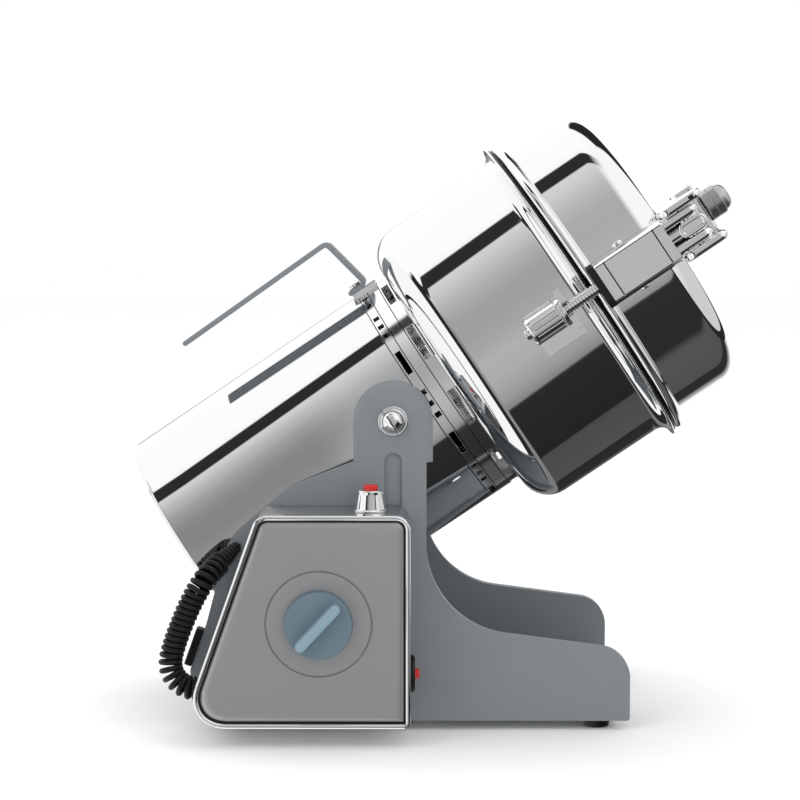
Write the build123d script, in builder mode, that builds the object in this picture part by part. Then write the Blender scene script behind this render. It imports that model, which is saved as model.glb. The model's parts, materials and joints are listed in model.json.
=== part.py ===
from build123d import *
import os
from math import cos, pi, radians, sin, tan

# A tilting grain mill: a barrel (motor housing, vent rings, grinding bowl and domed lid) that swings
# between two side plates, with a control box on the near plate. Millimetres and degrees.
# The origin is on the floor below the middle of the mill; +X runs forwards, to the lid, and +Z up.

# ------------------------------------------------------------------ stance
pivot_x = -28.0            # swing axis, fore and aft
pivot_z = 197.0            # swing axis above the floor
middle_y = 16.75           # the plane that halves the barrel and the stand
tilt = 34.0                # slope of the barrel at rest
axis_drop = 5.0            # the barrel's own axis lies this far below the swing axis

# ------------------------------------------------------------------ running fits and gaps
running_gap = 0.05         # shaft in its bore, radial
seat_gap = 0.1             # face beside a face that turns against it
free_gap = 0.3             # parts that pass each other

# ------------------------------------------------------------------ barrel, along its axis from the pivots
housing_radius = 80.0
housing_wall = 2.0
housing_tail = 158.0       # pivots to the housing's closed end
housing_nose = 22.0        # pivots to the first vent ring
housing_edge = 6.0         # rounding of the closed end
tail_rim = 18.0            # width of the rim turned in at the closed end
vent_ring_width = 6.5
bracket_width = 8.0
bracket_web = 3.0
window_ring_width = 7.5
ring_wall = 9.0
ring_edge = 1.2            # metal kept on both sides of a ring's slots
vent_slots = 8
vent_slot_width = 17.0
vent_rib_slot = 3.5        # narrow slots between the wide ones
vent_rib_turn = 6.0        # degrees from one narrow slot to the next
window_slots = 10
window_slot_width = 26.0
window_turn = 9.0
bowl_radius = 104.0
bowl_wall = 2.0
bowl_height = 101.5        # underside of the bowl to the top of its lip
bowl_corner = 20.0
flare_height = 8.0
lip_overhang = 9.0
lip_thickness = 1.5
gasket_thickness = 1.5
gasket_width = 9.0
lid_wall = 2.0
lid_height = 64.0
lid_corner = 18.0
lid_crown = 4.0            # rise of the domed end
bead_radius = 4.0
bead_overhang = 3.0

# ------------------------------------------------------------------ swing pivots
bolt_radius = 5.0
bolt_head_radius = 8.0
bolt_head_height = 6.0
boss_radius = 14.0
boss_height = 2.7
thrust_washer_radius = 13.0
thrust_washer_thickness = 0.6
washer_radius = 9.5
washer_thickness = 1.5
cap_nut_radius = 7.8
cap_nut_base = 2.5
cap_nut_dome = 6.6
bolt_tip = 3.0             # bolt beyond its outer washer

# ------------------------------------------------------------------ side plates
plate_thickness = 7.5
ear_radius = 25.0
ear_skirt = 26.0           # straight sides of the ear below the pivot
ear_bevel = 4.5
ear_step = 3.0
neck_half = 21.0
saddle_height = 68.0       # where the toe's slope would meet the neck
saddle_radius = 58.0
toe_reach = 150.0
toe_height = 51.0
toe_radius = 20.0
sole_height = 6.0          # underside of the plates above the floor
shoulder = (-66.0, 155.0)
shoulder_radius = 40.0
elbow = (-104.0, 121.0)
elbow_radius = 30.0
heel = (-118.0, 68.0)
tail = (-129.0, 37.0)       # the lowest corner behind
tail_foot = -114.0
channel_width = 11.0
channel_top = 20.0         # below the pivot
channel_length = 46.0
channel_depth = 2.5
flange_width = 22.0        # foot flange inside each plate
flange_thickness = 5.0
flange_ends = (-104.0, 144.0)
floor_thickness = 3.0
screw_radius = 2.5
screw_head_radius = 4.5
screw_head_height = 3.0
screw_stations = (-84.0, 20.0, 124.0)
foot_radius = 9.5
foot_tuck = 3.0            # feet reach this far below the plates
foot_taper = 8.0
foot_stations = (-94.0, 129.5)
guard_width = 5.0          # rubber guard on each plate's rear edge
guard_depth = 9.0
guard_inset = 4.0          # guard short of the edge's corners

# ------------------------------------------------------------------ control box, on the near plate
box_front = 11.0           # forward wall, from the pivot
box_top = 144.5
box_bottom = 13.0
box_rear_top = -82.7
box_rear_bottom = -129.8
box_corner = 9.0
box_rear_corner = 20.0
box_depth = 43.0
box_wall = 2.5
box_inset = 0.8            # housing within the bezel's outline
bezel_depth = 8.0
bezel_width = 4.2
bezel_rounding = 3.0
panel_thickness = 2.5
panel_recess = 1.2
panel_rounding = 1.5
dial_centre = (-45.0, 78.0)
dial_radius = 33.0
dial_groove = 1.0
knob_radius = 21.0
knob_base = 7.0
knob_height = 17.0
knob_bar = 8.5
knob_angle = 47.0
knob_rounding = 1.5
knob_draft = 4.0
spindle_length = 10.0      # spindle beyond the panel
spindle_radius = 3.0
timer_size = (52.0, 52.0, 28.0)
start_place = (-13.6, 26.0)     # fore and aft, and outward from the near plate
start_collar_base = 10.5
start_collar_top = 7.8
start_collar_height = 13.5
start_collar_edge = 0.8
start_button_radius = 4.5
start_button_proud = 3.2
start_switch_radius = 8.0
start_switch_length = 24.0
reset_place = (42.0, 25.0)      # height, and outward from the near plate
reset_collar_radius = 11.5
reset_collar_height = 3.6
reset_collar_edge = 1.0
reset_button_radius = 3.3
reset_button_proud = 2.8
breaker_size = (26.0, 24.0, 20.0)
press_travel = 2.0

# ------------------------------------------------------------------ motor
shaft_radius = 6.0
stator_bore = 33.0
stator_span = (-100.0, -25.0)
winding_length = 12.0
winding_inner = 36.0
winding_clearance = 20.0   # windings and fan within the housing's wall
armature_inset = 2.0       # the armature is this much shorter than the stator, at each end
armature_gap = 0.8
commutator_span = (-134.0, -116.0)
commutator_radius = 16.0
brush_size = 12.0
brush_reach = 46.0
bearing_radius = 16.0
bearing_width = 10.0
bearing_wall = 5.0
fan_span = (-8.0, 6.0)
fan_plate = 2.0
fan_hub = 8.0
fan_blade_root = 5.0       # fan blades begin this far from its hub
fan_blade_inset = 1.0
fan_blade_thickness = 2.0
fan_blades = 12
cover_thickness = 3.0
cover_lap = 10.0           # cover's flange behind the housing's rim
cover_vents = 20
cover_vent_width = 5.0
cover_screws_round = 4
vent_margin = 8.0          # metal kept beside a vent or window
bracket_windows = 8
bracket_window_width = 18.0
small_screw_radius = 2.0
small_head_radius = 4.0
small_head_height = 2.0
rotor_tail = 6.0           # shaft's rear end inside the housing's closed end

# ------------------------------------------------------------------ grinding blades
seal_radius = 12.0
seal_height = 5.0
lower_blade_lift = 12.0    # above the bowl's floor
upper_blade_lift = 28.0
blade_thickness = 3.0
blade_width = 24.0
blade_sweep = 20.0
blade_tip = 7.0
lower_blade_reach = 90.0
upper_blade_reach = 78.0
blade_nut_radius = 9.5
blade_nut_height = 9.0
blade_nut_roof = 1.0       # nut's closed end over the shaft
spacer_radius = 10.0

# ------------------------------------------------------------------ latch, on the near side of the lid
rod_radius = 4.0
rod_gap = 2.5              # rod clear of the bowl's lip
block_lift = 8.0           # block's lower end above the lid's rim
block_length = 48.0
block_width = 29.5
block_bevel = 5.0
block_outer = 8.5          # rod's axis to the block's outer face
block_groove = 0.8
groove_inset = 6.5
pin_lift = 20.5            # cross pin above the block's lower end
pin_height = 7.0           # cross pin above the lid's wall
pin_radius = 2.5
pin_head_radius = 3.7
pin_head_height = 2.4
pin_head_rounding = 1.6
tongue_width = 12.0
tongue_radius = 4.1
tongue_foot = 27.0
pad_thickness = 4.3
pad_length = 30.0
pad_width = 12.0
yoke_length = 25.0
yoke_outer = 24.0
yoke_gap = 11.0
yoke_depth = 13.0
block_relief = 1.5         # block clear of the lid's rim and wall
lever_pin_lift = 16.0      # above the block's upper end
lever_pin_radius = 3.0
eye_width = 10.0
eye_length = 19.0
eye_dimple = (4.5, 2.0)    # width and depth of the recess in the eye's face
rod_throw = 3.0            # the lever draws the rod by this much
lever_width = 35.6
lever_arm = 5.5
lever_hub = 7.5
lever_bend = 56.5          # lever pin to the middle of the bow's upright
lever_rise = 22.0
lever_bar = 6.5
knob_stem_radius = 10.0
knob_stem_height = 10.5
knob_dome_height = 6.0
lug_drop = 15.0            # lug's upper face below the bowl's lip
lug_thickness = 4.0
lug_width = 28.0
lug_slot = 9.4
lug_reach = 2.5            # tines beyond the rod's axis
lug_base = (27.0, 30.0, 3.0)
lug_base_shift = 5.0
collar_radius = 9.5
collar_height = 3.2
nut_radius = 9.2
nut_height = 22.0
nut_edge = 1.0
nut_ribs = 16
rib_radius = 0.9
nut_step = 3.0             # plain end below the ribs
rod_tail = 3.0             # rod beyond the nut

# ------------------------------------------------------------------ lid hinge, on the far side
hinge_pin_radius = 2.5
hinge_knuckle = 5.5
hinge_gap = 0.6            # knuckle clear of the bowl's lip
hinge_width = 30.0
hinge_middle = 10.0
hinge_leaf = 3.5
hinge_leaf_length = 24.0
hinge_lift = 0.5           # hinge axis above the bowl's lip

# ------------------------------------------------------------------ carrying handle
strap_thickness = 3.3
strap_width = 28.0
strap_foot = 11.7
strap_station = 31.0       # where its leg stands
strap_bend = (24.0, 38.0)  # along the barrel, and above the flange ring
strap_end = (-90.0, 35.5)
strap_bend_radius = 4.0
strap_corner = 6.0
strap_pad = 2.5
strap_screw_inset = 4.1    # from the foot's edge

# ------------------------------------------------------------------ cords
gland_radius = 8.6
gland_neck = 6.6           # the mains gland's neck, through the plate
gland_length = 6.0
inlet_place = (-104.0, 32.0)     # mains inlet, through the near plate
cord_radius = 7.1
cord_start = (-114.8, 26.0, 32.2)
cord_route = [             # from the pivot, outward from the near plate, and up
    cord_start,
    (-126.5, 26.0, 32.2),
    (-135.4, 26.0, 38.5),
    (-139.0, 26.0, 48.9),
    (-133.0, 26.5, 68.0),
    (-123.8, 26.5, 89.5),
    (-114.6, 25.5, 104.2),
]
tail_place = (-99.0, 117.0)      # where the cord's tapered tail enters the near plate
tail_length = 15.0
tail_radius = 3.2

# ------------------------------------------------------------------ datum planes
pivot = Vector(pivot_x, middle_y, pivot_z)
along = Vector(cos(radians(tilt)), 0, sin(radians(tilt)))
rise = Vector(-sin(radians(tilt)), 0, cos(radians(tilt)))
barrel_centre = pivot - rise * axis_drop
barrel_axis = Axis(barrel_centre, along)
cross = Plane(origin=barrel_centre, x_dir=(0, 1, 0), z_dir=along)        # across the barrel
meridian = Plane(origin=barrel_centre, x_dir=rise, z_dir=(0, 1, 0))      # (radius, station)
lengthwise = Plane(origin=pivot, x_dir=along, z_dir=rise * -1)           # (station, outward)
broadside = Plane(origin=pivot, x_dir=along, z_dir=(0, -1, 0))           # (station, rise)
middle = Plane(origin=(0, middle_y, 0), x_dir=(1, 0, 0), z_dir=(0, -1, 0))

# stations along the barrel and distances from its middle, all from the sizes above
vent_start = housing_nose
bracket_start = vent_start + vent_ring_width
window_start = bracket_start + bracket_width
bowl_start = window_start + window_ring_width
lip_top = bowl_start + bowl_height
lid_start = lip_top + gasket_thickness
lid_end = lid_start + lid_height
lip_radius = bowl_radius + lip_overhang
lid_radius = bowl_radius
ring_inner = housing_radius - ring_wall
tail_opening = housing_radius - tail_rim
cover_flange = tail_opening + cover_lap
cover_screw_circle = tail_opening + cover_lap / 2
bearing_seat = bearing_radius + bearing_wall
vent_inner = bearing_seat + vent_margin
fan_radius = housing_radius - housing_wall - winding_clearance
boss_face = housing_radius + boss_height
plate_inner = boss_face + thrust_washer_thickness + 2 * seat_gap
plate_outer = plate_inner + plate_thickness
rod_out = lip_radius + rod_gap + rod_radius
block_start = lid_start + block_lift
block_end = block_start + block_length
pin_station = block_start + pin_lift
pin_out = lid_radius + pin_height
lever_station = block_end + lever_pin_lift
lug_top = lip_top - lug_drop
collar_top = lug_top - lug_thickness - seat_gap
nut_top = collar_top - collar_height
nut_bottom = nut_top - nut_height
hinge_station = lip_top + hinge_lift
hinge_out = lip_radius + hinge_gap + hinge_knuckle

os.makedirs("parts", exist_ok=True)


def finish(part, name):
    """Label a finished piece and write it as a STEP file of the same name."""
    part.label = name
    export_step(part, f"parts/{name}.step")


def ring(inner, outer, start, end, mode=Mode.ADD):
    """A plain ring round the barrel's axis between two stations along it."""
    with BuildSketch(cross.offset(start)) as section:
        Circle(outer)
        if inner:
            Circle(inner, mode=Mode.SUBTRACT)
    extrude(section.sketch, amount=end - start, mode=mode)


def rod(start, end, radius, mode=Mode.ADD):
    """A round bar parallel to the barrel at the latch rod's place."""
    with BuildSketch(lengthwise_end(start)) as section:
        Circle(radius)
    extrude(section.sketch, amount=end - start, mode=mode)


def lengthwise_end(station):
    """The plane across the latch rod at a station, centred on the rod."""
    return Plane(origin=lengthwise.from_local_coords((station, rod_out, 0)), x_dir=rise, z_dir=along)


def dome_radius(radius, height):
    """The radius of the ball whose cap has this rim and height."""
    return (radius**2 + height**2) / (2 * height)


def cross_pin(station, out, radius, half_length, mode=Mode.ADD):
    """A round bar across the latch, square to the barrel's axis."""
    with BuildSketch(lengthwise) as section:
        with Locations((station, out)):
            Circle(radius)
    extrude(section.sketch, amount=half_length, both=True, mode=mode)


# ================================================================== stand

near_face = Plane(origin=(pivot_x, middle_y - plate_inner, 0), x_dir=(1, 0, 0), z_dir=(0, -1, 0))
outer_face = near_face.offset(plate_thickness)

with BuildPart() as side_plate:
    with BuildSketch(near_face):
        with BuildLine():
            FilletPolyline(
                (tail_foot, sole_height),
                tail,
                heel,
                elbow,
                shoulder,
                (-ear_radius, pivot_z - ear_skirt),
                (neck_half, pivot_z - ear_skirt),
                (neck_half, saddle_height),
                (toe_reach, toe_height),
                (toe_reach, sole_height),
                radius=[2, 8, 30, elbow_radius, shoulder_radius, 0.5, 0.5, saddle_radius, toe_radius, 2],
                close=True,
            )
        make_face()
    extrude(amount=plate_thickness)
    with BuildSketch(near_face):                     # the ear round the pivot
        with Locations((0, pivot_z)):
            Circle(ear_radius)
        with Locations((0, pivot_z - ear_skirt)):
            Rectangle(2 * ear_radius, ear_skirt, align=(Align.CENTER, Align.MIN))
    extrude(amount=plate_thickness - ear_step)
    with BuildSketch(near_face.offset(plate_thickness - ear_step)):
        with Locations((0, pivot_z)):
            Circle(ear_radius)
        with Locations((0, pivot_z - ear_skirt)):
            Rectangle(2 * ear_radius, ear_skirt, align=(Align.CENTER, Align.MIN))
    with BuildSketch(outer_face):
        with Locations((0, pivot_z)):
            Circle(ear_radius - ear_bevel)
        with Locations((0, pivot_z - ear_skirt)):
            Rectangle(2 * (ear_radius - ear_bevel), ear_skirt, align=(Align.CENTER, Align.MIN))
    loft()
    with BuildSketch(outer_face):                    # the round-topped channel down the neck
        with Locations((0, pivot_z - channel_top - channel_length / 2)):
            SlotOverall(channel_length, channel_width, rotation=90)
    extrude(amount=-channel_depth, mode=Mode.SUBTRACT)
    with BuildSketch(Plane.XY.offset(sole_height)):  # the foot flange
        with Locations(((flange_ends[0] + flange_ends[1]) / 2 + pivot_x, middle_y - plate_inner)):
            Rectangle(flange_ends[1] - flange_ends[0], flange_width, align=(Align.CENTER, Align.MIN))
    extrude(amount=flange_thickness)
    with BuildSketch(near_face):                     # the pivot's bore
        with Locations((0, pivot_z)):
            Circle(bolt_radius)
    extrude(amount=plate_thickness, mode=Mode.SUBTRACT)
    with BuildSketch(Plane.XY.offset(sole_height)):  # tapped holes for the floor's screws
        with Locations(*[(pivot_x + x, middle_y - plate_inner + flange_width / 2) for x in screw_stations]):
            Circle(screw_radius)
    extrude(amount=flange_thickness, mode=Mode.SUBTRACT)

with BuildPart() as side_plate_far:
    mirror(side_plate.part, about=middle)
finish(side_plate_far.part, "side_plate_far")

with BuildPart() as side_plate_near:                 # the near one is also bored for the mains inlet
    add(side_plate.part)
    with BuildSketch(near_face):
        with Locations(inlet_place):
            Circle(gland_neck)
    extrude(amount=plate_thickness, mode=Mode.SUBTRACT)
finish(side_plate_near.part, "side_plate_near")

floor_top = sole_height + flange_thickness + floor_thickness
plate_sides = (-1, 1)

with BuildPart() as floor_plate:
    with BuildSketch(Plane.XY.offset(sole_height + flange_thickness)):
        with Locations(((flange_ends[0] + flange_ends[1]) / 2 + pivot_x, middle_y)):
            RectangleRounded(flange_ends[1] - flange_ends[0], 2 * (plate_inner - free_gap), 4)
        with Locations(
            *[
                (pivot_x + x, middle_y + side * (plate_inner - flange_width / 2))
                for x in screw_stations
                for side in plate_sides
            ]
        ):
            Circle(screw_radius, mode=Mode.SUBTRACT)
    extrude(amount=floor_thickness)
finish(floor_plate.part, "floor_plate")

with BuildPart() as floor_screws:
    for x in screw_stations:
        for side in plate_sides:
            place = (pivot_x + x, middle_y + side * (plate_inner - flange_width / 2))
            with BuildSketch(Plane.XY.offset(sole_height)):
                with Locations(place):
                    Circle(screw_radius)
            extrude(amount=flange_thickness + floor_thickness)
            with BuildSketch(Plane.XY.offset(floor_top)):
                with Locations(place):
                    Circle(screw_head_radius)
            extrude(amount=screw_head_height)
finish(floor_screws.part, "floor_screws")

with BuildPart() as rubber_feet:
    for x in foot_stations:
        for side in plate_sides:
            with BuildSketch(Plane.XY):
                with Locations((pivot_x + x, middle_y + side * (plate_inner - foot_radius + foot_tuck))):
                    Circle(foot_radius - sole_height * tan(radians(foot_taper)))
            extrude(amount=sole_height, taper=-foot_taper)
finish(rubber_feet.part, "rubber_feet")

with BuildPart() as guard_near:
    rear_edge = Vector(*heel) - Vector(*tail)
    along_edge = Plane(
        origin=near_face.from_local_coords((tail[0], tail[1], 0)),
        x_dir=near_face.from_local_coords(heel) - near_face.from_local_coords(tail),
        z_dir=(0, -1, 0),
    )
    with BuildSketch(along_edge):
        with Locations((rear_edge.length / 2, 0)):
            Rectangle(rear_edge.length - 2 * guard_inset, guard_width, align=(Align.CENTER, Align.MIN))
    extrude(amount=guard_depth)

with BuildPart() as edge_guards:
    add(guard_near.part)
    mirror(guard_near.part, about=middle)
finish(edge_guards.part, "edge_guards")

# ------------------------------------------------------------------ swing pivots, a pair of each piece


def pivot_piece(builder):
    """A piece of the near pivot and its mirror image at the far one."""
    with BuildPart() as pair:
        add(builder.part)
        mirror(builder.part, about=middle)
    return pair.part


with BuildPart() as pivot_bolt:
    with BuildSketch(broadside.offset(housing_radius - housing_wall - 2 - bolt_head_height)):
        RegularPolygon(bolt_head_radius, 6)
    extrude(amount=bolt_head_height)
    with BuildSketch(broadside.offset(housing_radius - housing_wall - 2)):
        Circle(bolt_radius)
    extrude(amount=plate_outer + washer_thickness + bolt_tip - housing_radius + housing_wall + 2)
finish(pivot_piece(pivot_bolt), "pivot_bolts")

with BuildPart() as pivot_washer:
    with BuildSketch(broadside.offset(plate_outer)):
        Circle(washer_radius)
        Circle(bolt_radius, mode=Mode.SUBTRACT)
    extrude(amount=washer_thickness)
finish(pivot_piece(pivot_washer), "pivot_washers")

with BuildPart() as cap_nut:
    nut_face = broadside.offset(plate_outer + washer_thickness)
    with BuildSketch(nut_face):
        Circle(cap_nut_radius)
    extrude(amount=cap_nut_base)
    with BuildSketch(Plane(origin=nut_face.offset(cap_nut_base).origin, x_dir=along, z_dir=rise * -1)):
        with BuildLine():
            Line((0, 0), (cap_nut_radius, 0))
            RadiusArc((cap_nut_radius, 0), (0, cap_nut_dome), -dome_radius(cap_nut_radius, cap_nut_dome))
            Line((0, cap_nut_dome), (0, 0))
        make_face()
    revolve(axis=Axis(nut_face.origin, (0, -1, 0)))
    with BuildSketch(nut_face):
        Circle(bolt_radius)
    extrude(amount=bolt_tip, mode=Mode.SUBTRACT)
finish(pivot_piece(cap_nut), "pivot_cap_nuts")

with BuildPart() as thrust_washer:
    with BuildSketch(broadside.offset(boss_face + seat_gap)):
        Circle(thrust_washer_radius)
        Circle(bolt_radius + running_gap, mode=Mode.SUBTRACT)
    extrude(amount=thrust_washer_thickness)
finish(pivot_piece(thrust_washer), "thrust_washers")

with BuildPart() as pivot_boss:
    with BuildSketch(broadside.offset(housing_radius - boss_radius)):
        Circle(boss_radius)
        Circle(bolt_radius + running_gap, mode=Mode.SUBTRACT)
    extrude(amount=boss_radius + boss_height)
    ring(0, housing_radius, -2 * boss_radius, 2 * boss_radius, mode=Mode.SUBTRACT)
finish(pivot_piece(pivot_boss), "pivot_bosses")

# ================================================================== control box


with BuildSketch() as box_outline:
    with BuildLine():
        FilletPolyline(
            (box_rear_bottom, box_bottom),
            (box_rear_top, box_top),
            (box_front, box_top),
            (box_front, box_bottom),
            radius=[box_rear_corner, box_corner, box_corner, 4],
            close=True,
        )
    make_face()

bezel_start = outer_face.offset(box_depth)
box_roof = Plane(
    origin=(pivot_x + start_place[0], middle_y - plate_outer - start_place[1], box_top - box_inset),
    x_dir=(1, 0, 0),
    z_dir=(0, 0, 1),
)
box_fore = Plane(
    origin=(pivot_x + box_front - box_inset, middle_y - plate_outer - reset_place[1], reset_place[0]),
    x_dir=(0, 1, 0),
    z_dir=(1, 0, 0),
)
cord_port = Plane(
    origin=(pivot_x + cord_start[0], middle_y - plate_outer - cord_start[1], cord_start[2]),
    x_dir=(0, 1, 0),
    z_dir=(-1, 0, 0),
)

with BuildPart() as control_housing:
    with BuildSketch(outer_face):
        add(box_outline.sketch)
        offset(amount=-box_inset, mode=Mode.REPLACE)
    extrude(amount=box_depth)
    with BuildSketch(outer_face.offset(box_wall)):
        add(box_outline.sketch)
        offset(amount=-box_inset - box_wall, mode=Mode.REPLACE)
    extrude(amount=box_depth - box_wall, mode=Mode.SUBTRACT)
    with BuildSketch(box_roof):
        Circle(start_switch_radius + running_gap)
    extrude(amount=-2 * box_wall, mode=Mode.SUBTRACT)
    with BuildSketch(box_fore):
        Circle(reset_button_radius + box_wall)
    extrude(amount=-2 * box_wall, mode=Mode.SUBTRACT)
    with BuildSketch(cord_port):
        Circle(cord_radius + free_gap)
    extrude(amount=box_rear_corner, mode=Mode.SUBTRACT)
    with BuildSketch(outer_face):
        with Locations(inlet_place):
            Circle(gland_neck)
    extrude(amount=box_wall, mode=Mode.SUBTRACT)
finish(control_housing.part, "control_housing")

with BuildPart() as control_bezel:
    with BuildSketch(bezel_start):
        add(box_outline.sketch)
    extrude(amount=bezel_depth)
    fillet(control_bezel.faces().sort_by(Axis.Y)[0].edges(), bezel_rounding)
    with BuildSketch(bezel_start):
        add(box_outline.sketch)
        offset(amount=-bezel_width, mode=Mode.REPLACE)
    extrude(amount=bezel_depth, mode=Mode.SUBTRACT)
finish(control_bezel.part, "control_bezel")

panel_back = bezel_start.offset(bezel_depth - panel_recess - panel_thickness)
dial = Plane(
    origin=panel_back.from_local_coords((dial_centre[0], dial_centre[1], panel_thickness)),
    x_dir=(1, 0, 0),
    z_dir=(0, -1, 0),
)

with BuildPart() as control_panel:
    with BuildSketch(panel_back):
        add(box_outline.sketch)
        offset(amount=-bezel_width, mode=Mode.REPLACE)
    extrude(amount=panel_thickness)
    fillet(control_panel.faces().sort_by(Axis.Y)[0].edges(), panel_rounding)
    with BuildSketch(dial):
        Circle(dial_radius)
        Circle(dial_radius - dial_groove, mode=Mode.SUBTRACT)
    extrude(amount=-dial_groove, mode=Mode.SUBTRACT)
    with BuildSketch(dial):
        Circle(spindle_radius + free_gap)
    extrude(amount=-panel_thickness, mode=Mode.SUBTRACT)
finish(control_panel.part, "control_panel")

with BuildPart() as timer_knob:
    with BuildSketch(dial.offset(free_gap)):
        Circle(knob_radius)
    extrude(amount=knob_base, taper=knob_draft)
    with BuildSketch(dial.offset(free_gap)):
        SlotOverall(2 * (knob_radius - knob_rounding), knob_bar, rotation=knob_angle)
    extrude(amount=knob_height, taper=knob_draft)
    fillet(timer_knob.faces().sort_by(Axis.Y)[0].edges(), knob_rounding)
    with BuildSketch(dial.offset(free_gap)):
        Circle(spindle_radius)
    extrude(amount=-free_gap - panel_thickness - spindle_length)
finish(timer_knob.part, "timer_knob")

with BuildPart() as timer_body:
    with BuildSketch(dial.offset(-panel_thickness)):
        RectangleRounded(timer_size[0], timer_size[1], 5)
        Circle(spindle_radius + running_gap, mode=Mode.SUBTRACT)
    extrude(amount=-timer_size[2])
finish(timer_body.part, "timer_body")

with BuildPart() as start_collar:
    with BuildSketch(box_roof):
        Circle(start_collar_base)
    with BuildSketch(box_roof.offset(start_collar_height)):
        Circle(start_collar_top)
    loft()
    chamfer(start_collar.faces().sort_by(Axis.Z)[-1].edges(), start_collar_edge)
    with BuildSketch(box_roof):
        Circle(start_button_radius + free_gap)
    extrude(amount=start_collar_height, mode=Mode.SUBTRACT)
finish(start_collar.part, "start_collar")

with BuildPart() as start_switch:
    with BuildSketch(box_roof):
        Circle(start_switch_radius)
        Circle(start_button_radius + free_gap, mode=Mode.SUBTRACT)
    extrude(amount=-start_switch_length)
    with BuildSketch(box_roof.offset(-start_switch_length)):
        Circle(start_switch_radius)
    extrude(amount=start_switch_length / 2)
finish(start_switch.part, "start_switch")

with BuildPart() as start_button:
    with BuildSketch(box_roof.offset(-start_switch_length / 2 + press_travel + free_gap)):
        Circle(start_button_radius)
    extrude(
        amount=start_switch_length / 2
        - press_travel
        - free_gap
        + start_collar_height
        + start_button_proud
    )
    fillet(start_button.faces().sort_by(Axis.Z)[-1].edges(), 0.8)
finish(start_button.part, "start_button")

with BuildPart() as reset_collar:
    with BuildSketch(box_fore):
        Circle(reset_collar_radius)
        Circle(reset_button_radius + free_gap, mode=Mode.SUBTRACT)
    extrude(amount=reset_collar_height)
    fillet(reset_collar.faces().sort_by(Axis.X)[-1].edges().sort_by(SortBy.LENGTH)[-1], reset_collar_edge)
finish(reset_collar.part, "reset_collar")

with BuildPart() as breaker_body:
    with BuildSketch(box_fore.offset(-box_wall)):
        Rectangle(breaker_size[0], breaker_size[1])
        Circle(reset_button_radius + free_gap, mode=Mode.SUBTRACT)
    extrude(amount=-breaker_size[2])
    with BuildSketch(box_fore.offset(-box_wall - breaker_size[2])):
        Rectangle(breaker_size[0], breaker_size[1])
    extrude(amount=breaker_size[2] / 2)
finish(breaker_body.part, "breaker_body")

with BuildPart() as reset_button:
    with BuildSketch(box_fore.offset(-box_wall - breaker_size[2] / 2 + press_travel + free_gap)):
        Circle(reset_button_radius)
    extrude(
        amount=box_wall
        + breaker_size[2] / 2
        - press_travel
        - free_gap
        + reset_collar_height
        + reset_button_proud
    )
    fillet(reset_button.faces().sort_by(Axis.X)[-1].edges(), 0.6)
finish(reset_button.part, "reset_button")

# ================================================================== barrel: motor housing and rings

with BuildPart() as motor_housing:
    with BuildSketch(meridian):
        with BuildLine():
            FilletPolyline(
                (housing_radius, housing_nose),
                (housing_radius, -housing_tail),
                (tail_opening, -housing_tail),
                radius=[housing_edge],
            )
            Line((tail_opening, -housing_tail), (tail_opening, housing_wall - housing_tail))
            FilletPolyline(
                (tail_opening, housing_wall - housing_tail),
                (housing_radius - housing_wall, housing_wall - housing_tail),
                (housing_radius - housing_wall, housing_nose),
                radius=[housing_edge - housing_wall],
            )
            Line((housing_radius - housing_wall, housing_nose), (housing_radius, housing_nose))
        make_face()
    revolve(axis=barrel_axis)
    with BuildSketch(broadside.offset(-housing_radius)):
        Circle(bolt_radius + running_gap)
    extrude(amount=2 * housing_radius, mode=Mode.SUBTRACT)
    with BuildSketch(cross.offset(-housing_tail)):
        with PolarLocations(cover_screw_circle, cover_screws_round, start_angle=45):
            Circle(small_screw_radius)
    extrude(amount=housing_wall, mode=Mode.SUBTRACT)
finish(motor_housing.part, "motor_housing")

cover_start = housing_wall - housing_tail
rear_bearing = cover_start + cover_thickness

with BuildPart() as end_cover:
    ring(0, tail_opening, -housing_tail, cover_start)
    ring(0, cover_flange, cover_start, cover_start + cover_thickness)
    ring(0, bearing_seat, cover_start, rear_bearing + bearing_width)
    ring(0, bearing_radius, rear_bearing, rear_bearing + bearing_width, mode=Mode.SUBTRACT)
    with BuildSketch(cross.offset(-housing_tail)):
        with PolarLocations((vent_inner + tail_opening - cover_vent_width) / 2, cover_vents):
            SlotOverall(tail_opening - cover_vent_width - vent_inner, cover_vent_width)
        with PolarLocations(cover_screw_circle, cover_screws_round, start_angle=45):
            Circle(small_screw_radius)
    extrude(amount=housing_wall + cover_thickness, mode=Mode.SUBTRACT)
finish(end_cover.part, "end_cover")

with BuildPart() as cover_screws:
    with BuildSketch(cross.offset(-housing_tail - small_head_height)):
        with PolarLocations(cover_screw_circle, cover_screws_round, start_angle=45):
            Circle(small_head_radius)
    extrude(amount=small_head_height)
    with BuildSketch(cross.offset(-housing_tail)):
        with PolarLocations(cover_screw_circle, cover_screws_round, start_angle=45):
            Circle(small_screw_radius)
    extrude(amount=housing_wall + cover_thickness)
finish(cover_screws.part, "cover_screws")

def radial_slots(start, width, reach, count, first):
    """Slots cut in from the outside of a ring, evenly spaced round it."""
    with BuildSketch(cross.offset(start)) as slots:
        with PolarLocations(housing_radius - ring_wall / 2, count, start_angle=first):
            Rectangle(2 * ring_wall, reach)
    extrude(slots.sketch, amount=width, mode=Mode.SUBTRACT)


with BuildPart() as vent_ring:
    ring(ring_inner, housing_radius, vent_start, bracket_start)
    slot_span = vent_ring_width - 2 * ring_edge
    radial_slots(vent_start + ring_edge, slot_span, vent_slot_width, vent_slots, 180 / vent_slots)
    for turn in (-vent_rib_turn, 0, vent_rib_turn):
        radial_slots(vent_start + ring_edge, slot_span, vent_rib_slot, vent_slots, turn)
finish(vent_ring.part, "vent_ring")

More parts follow.
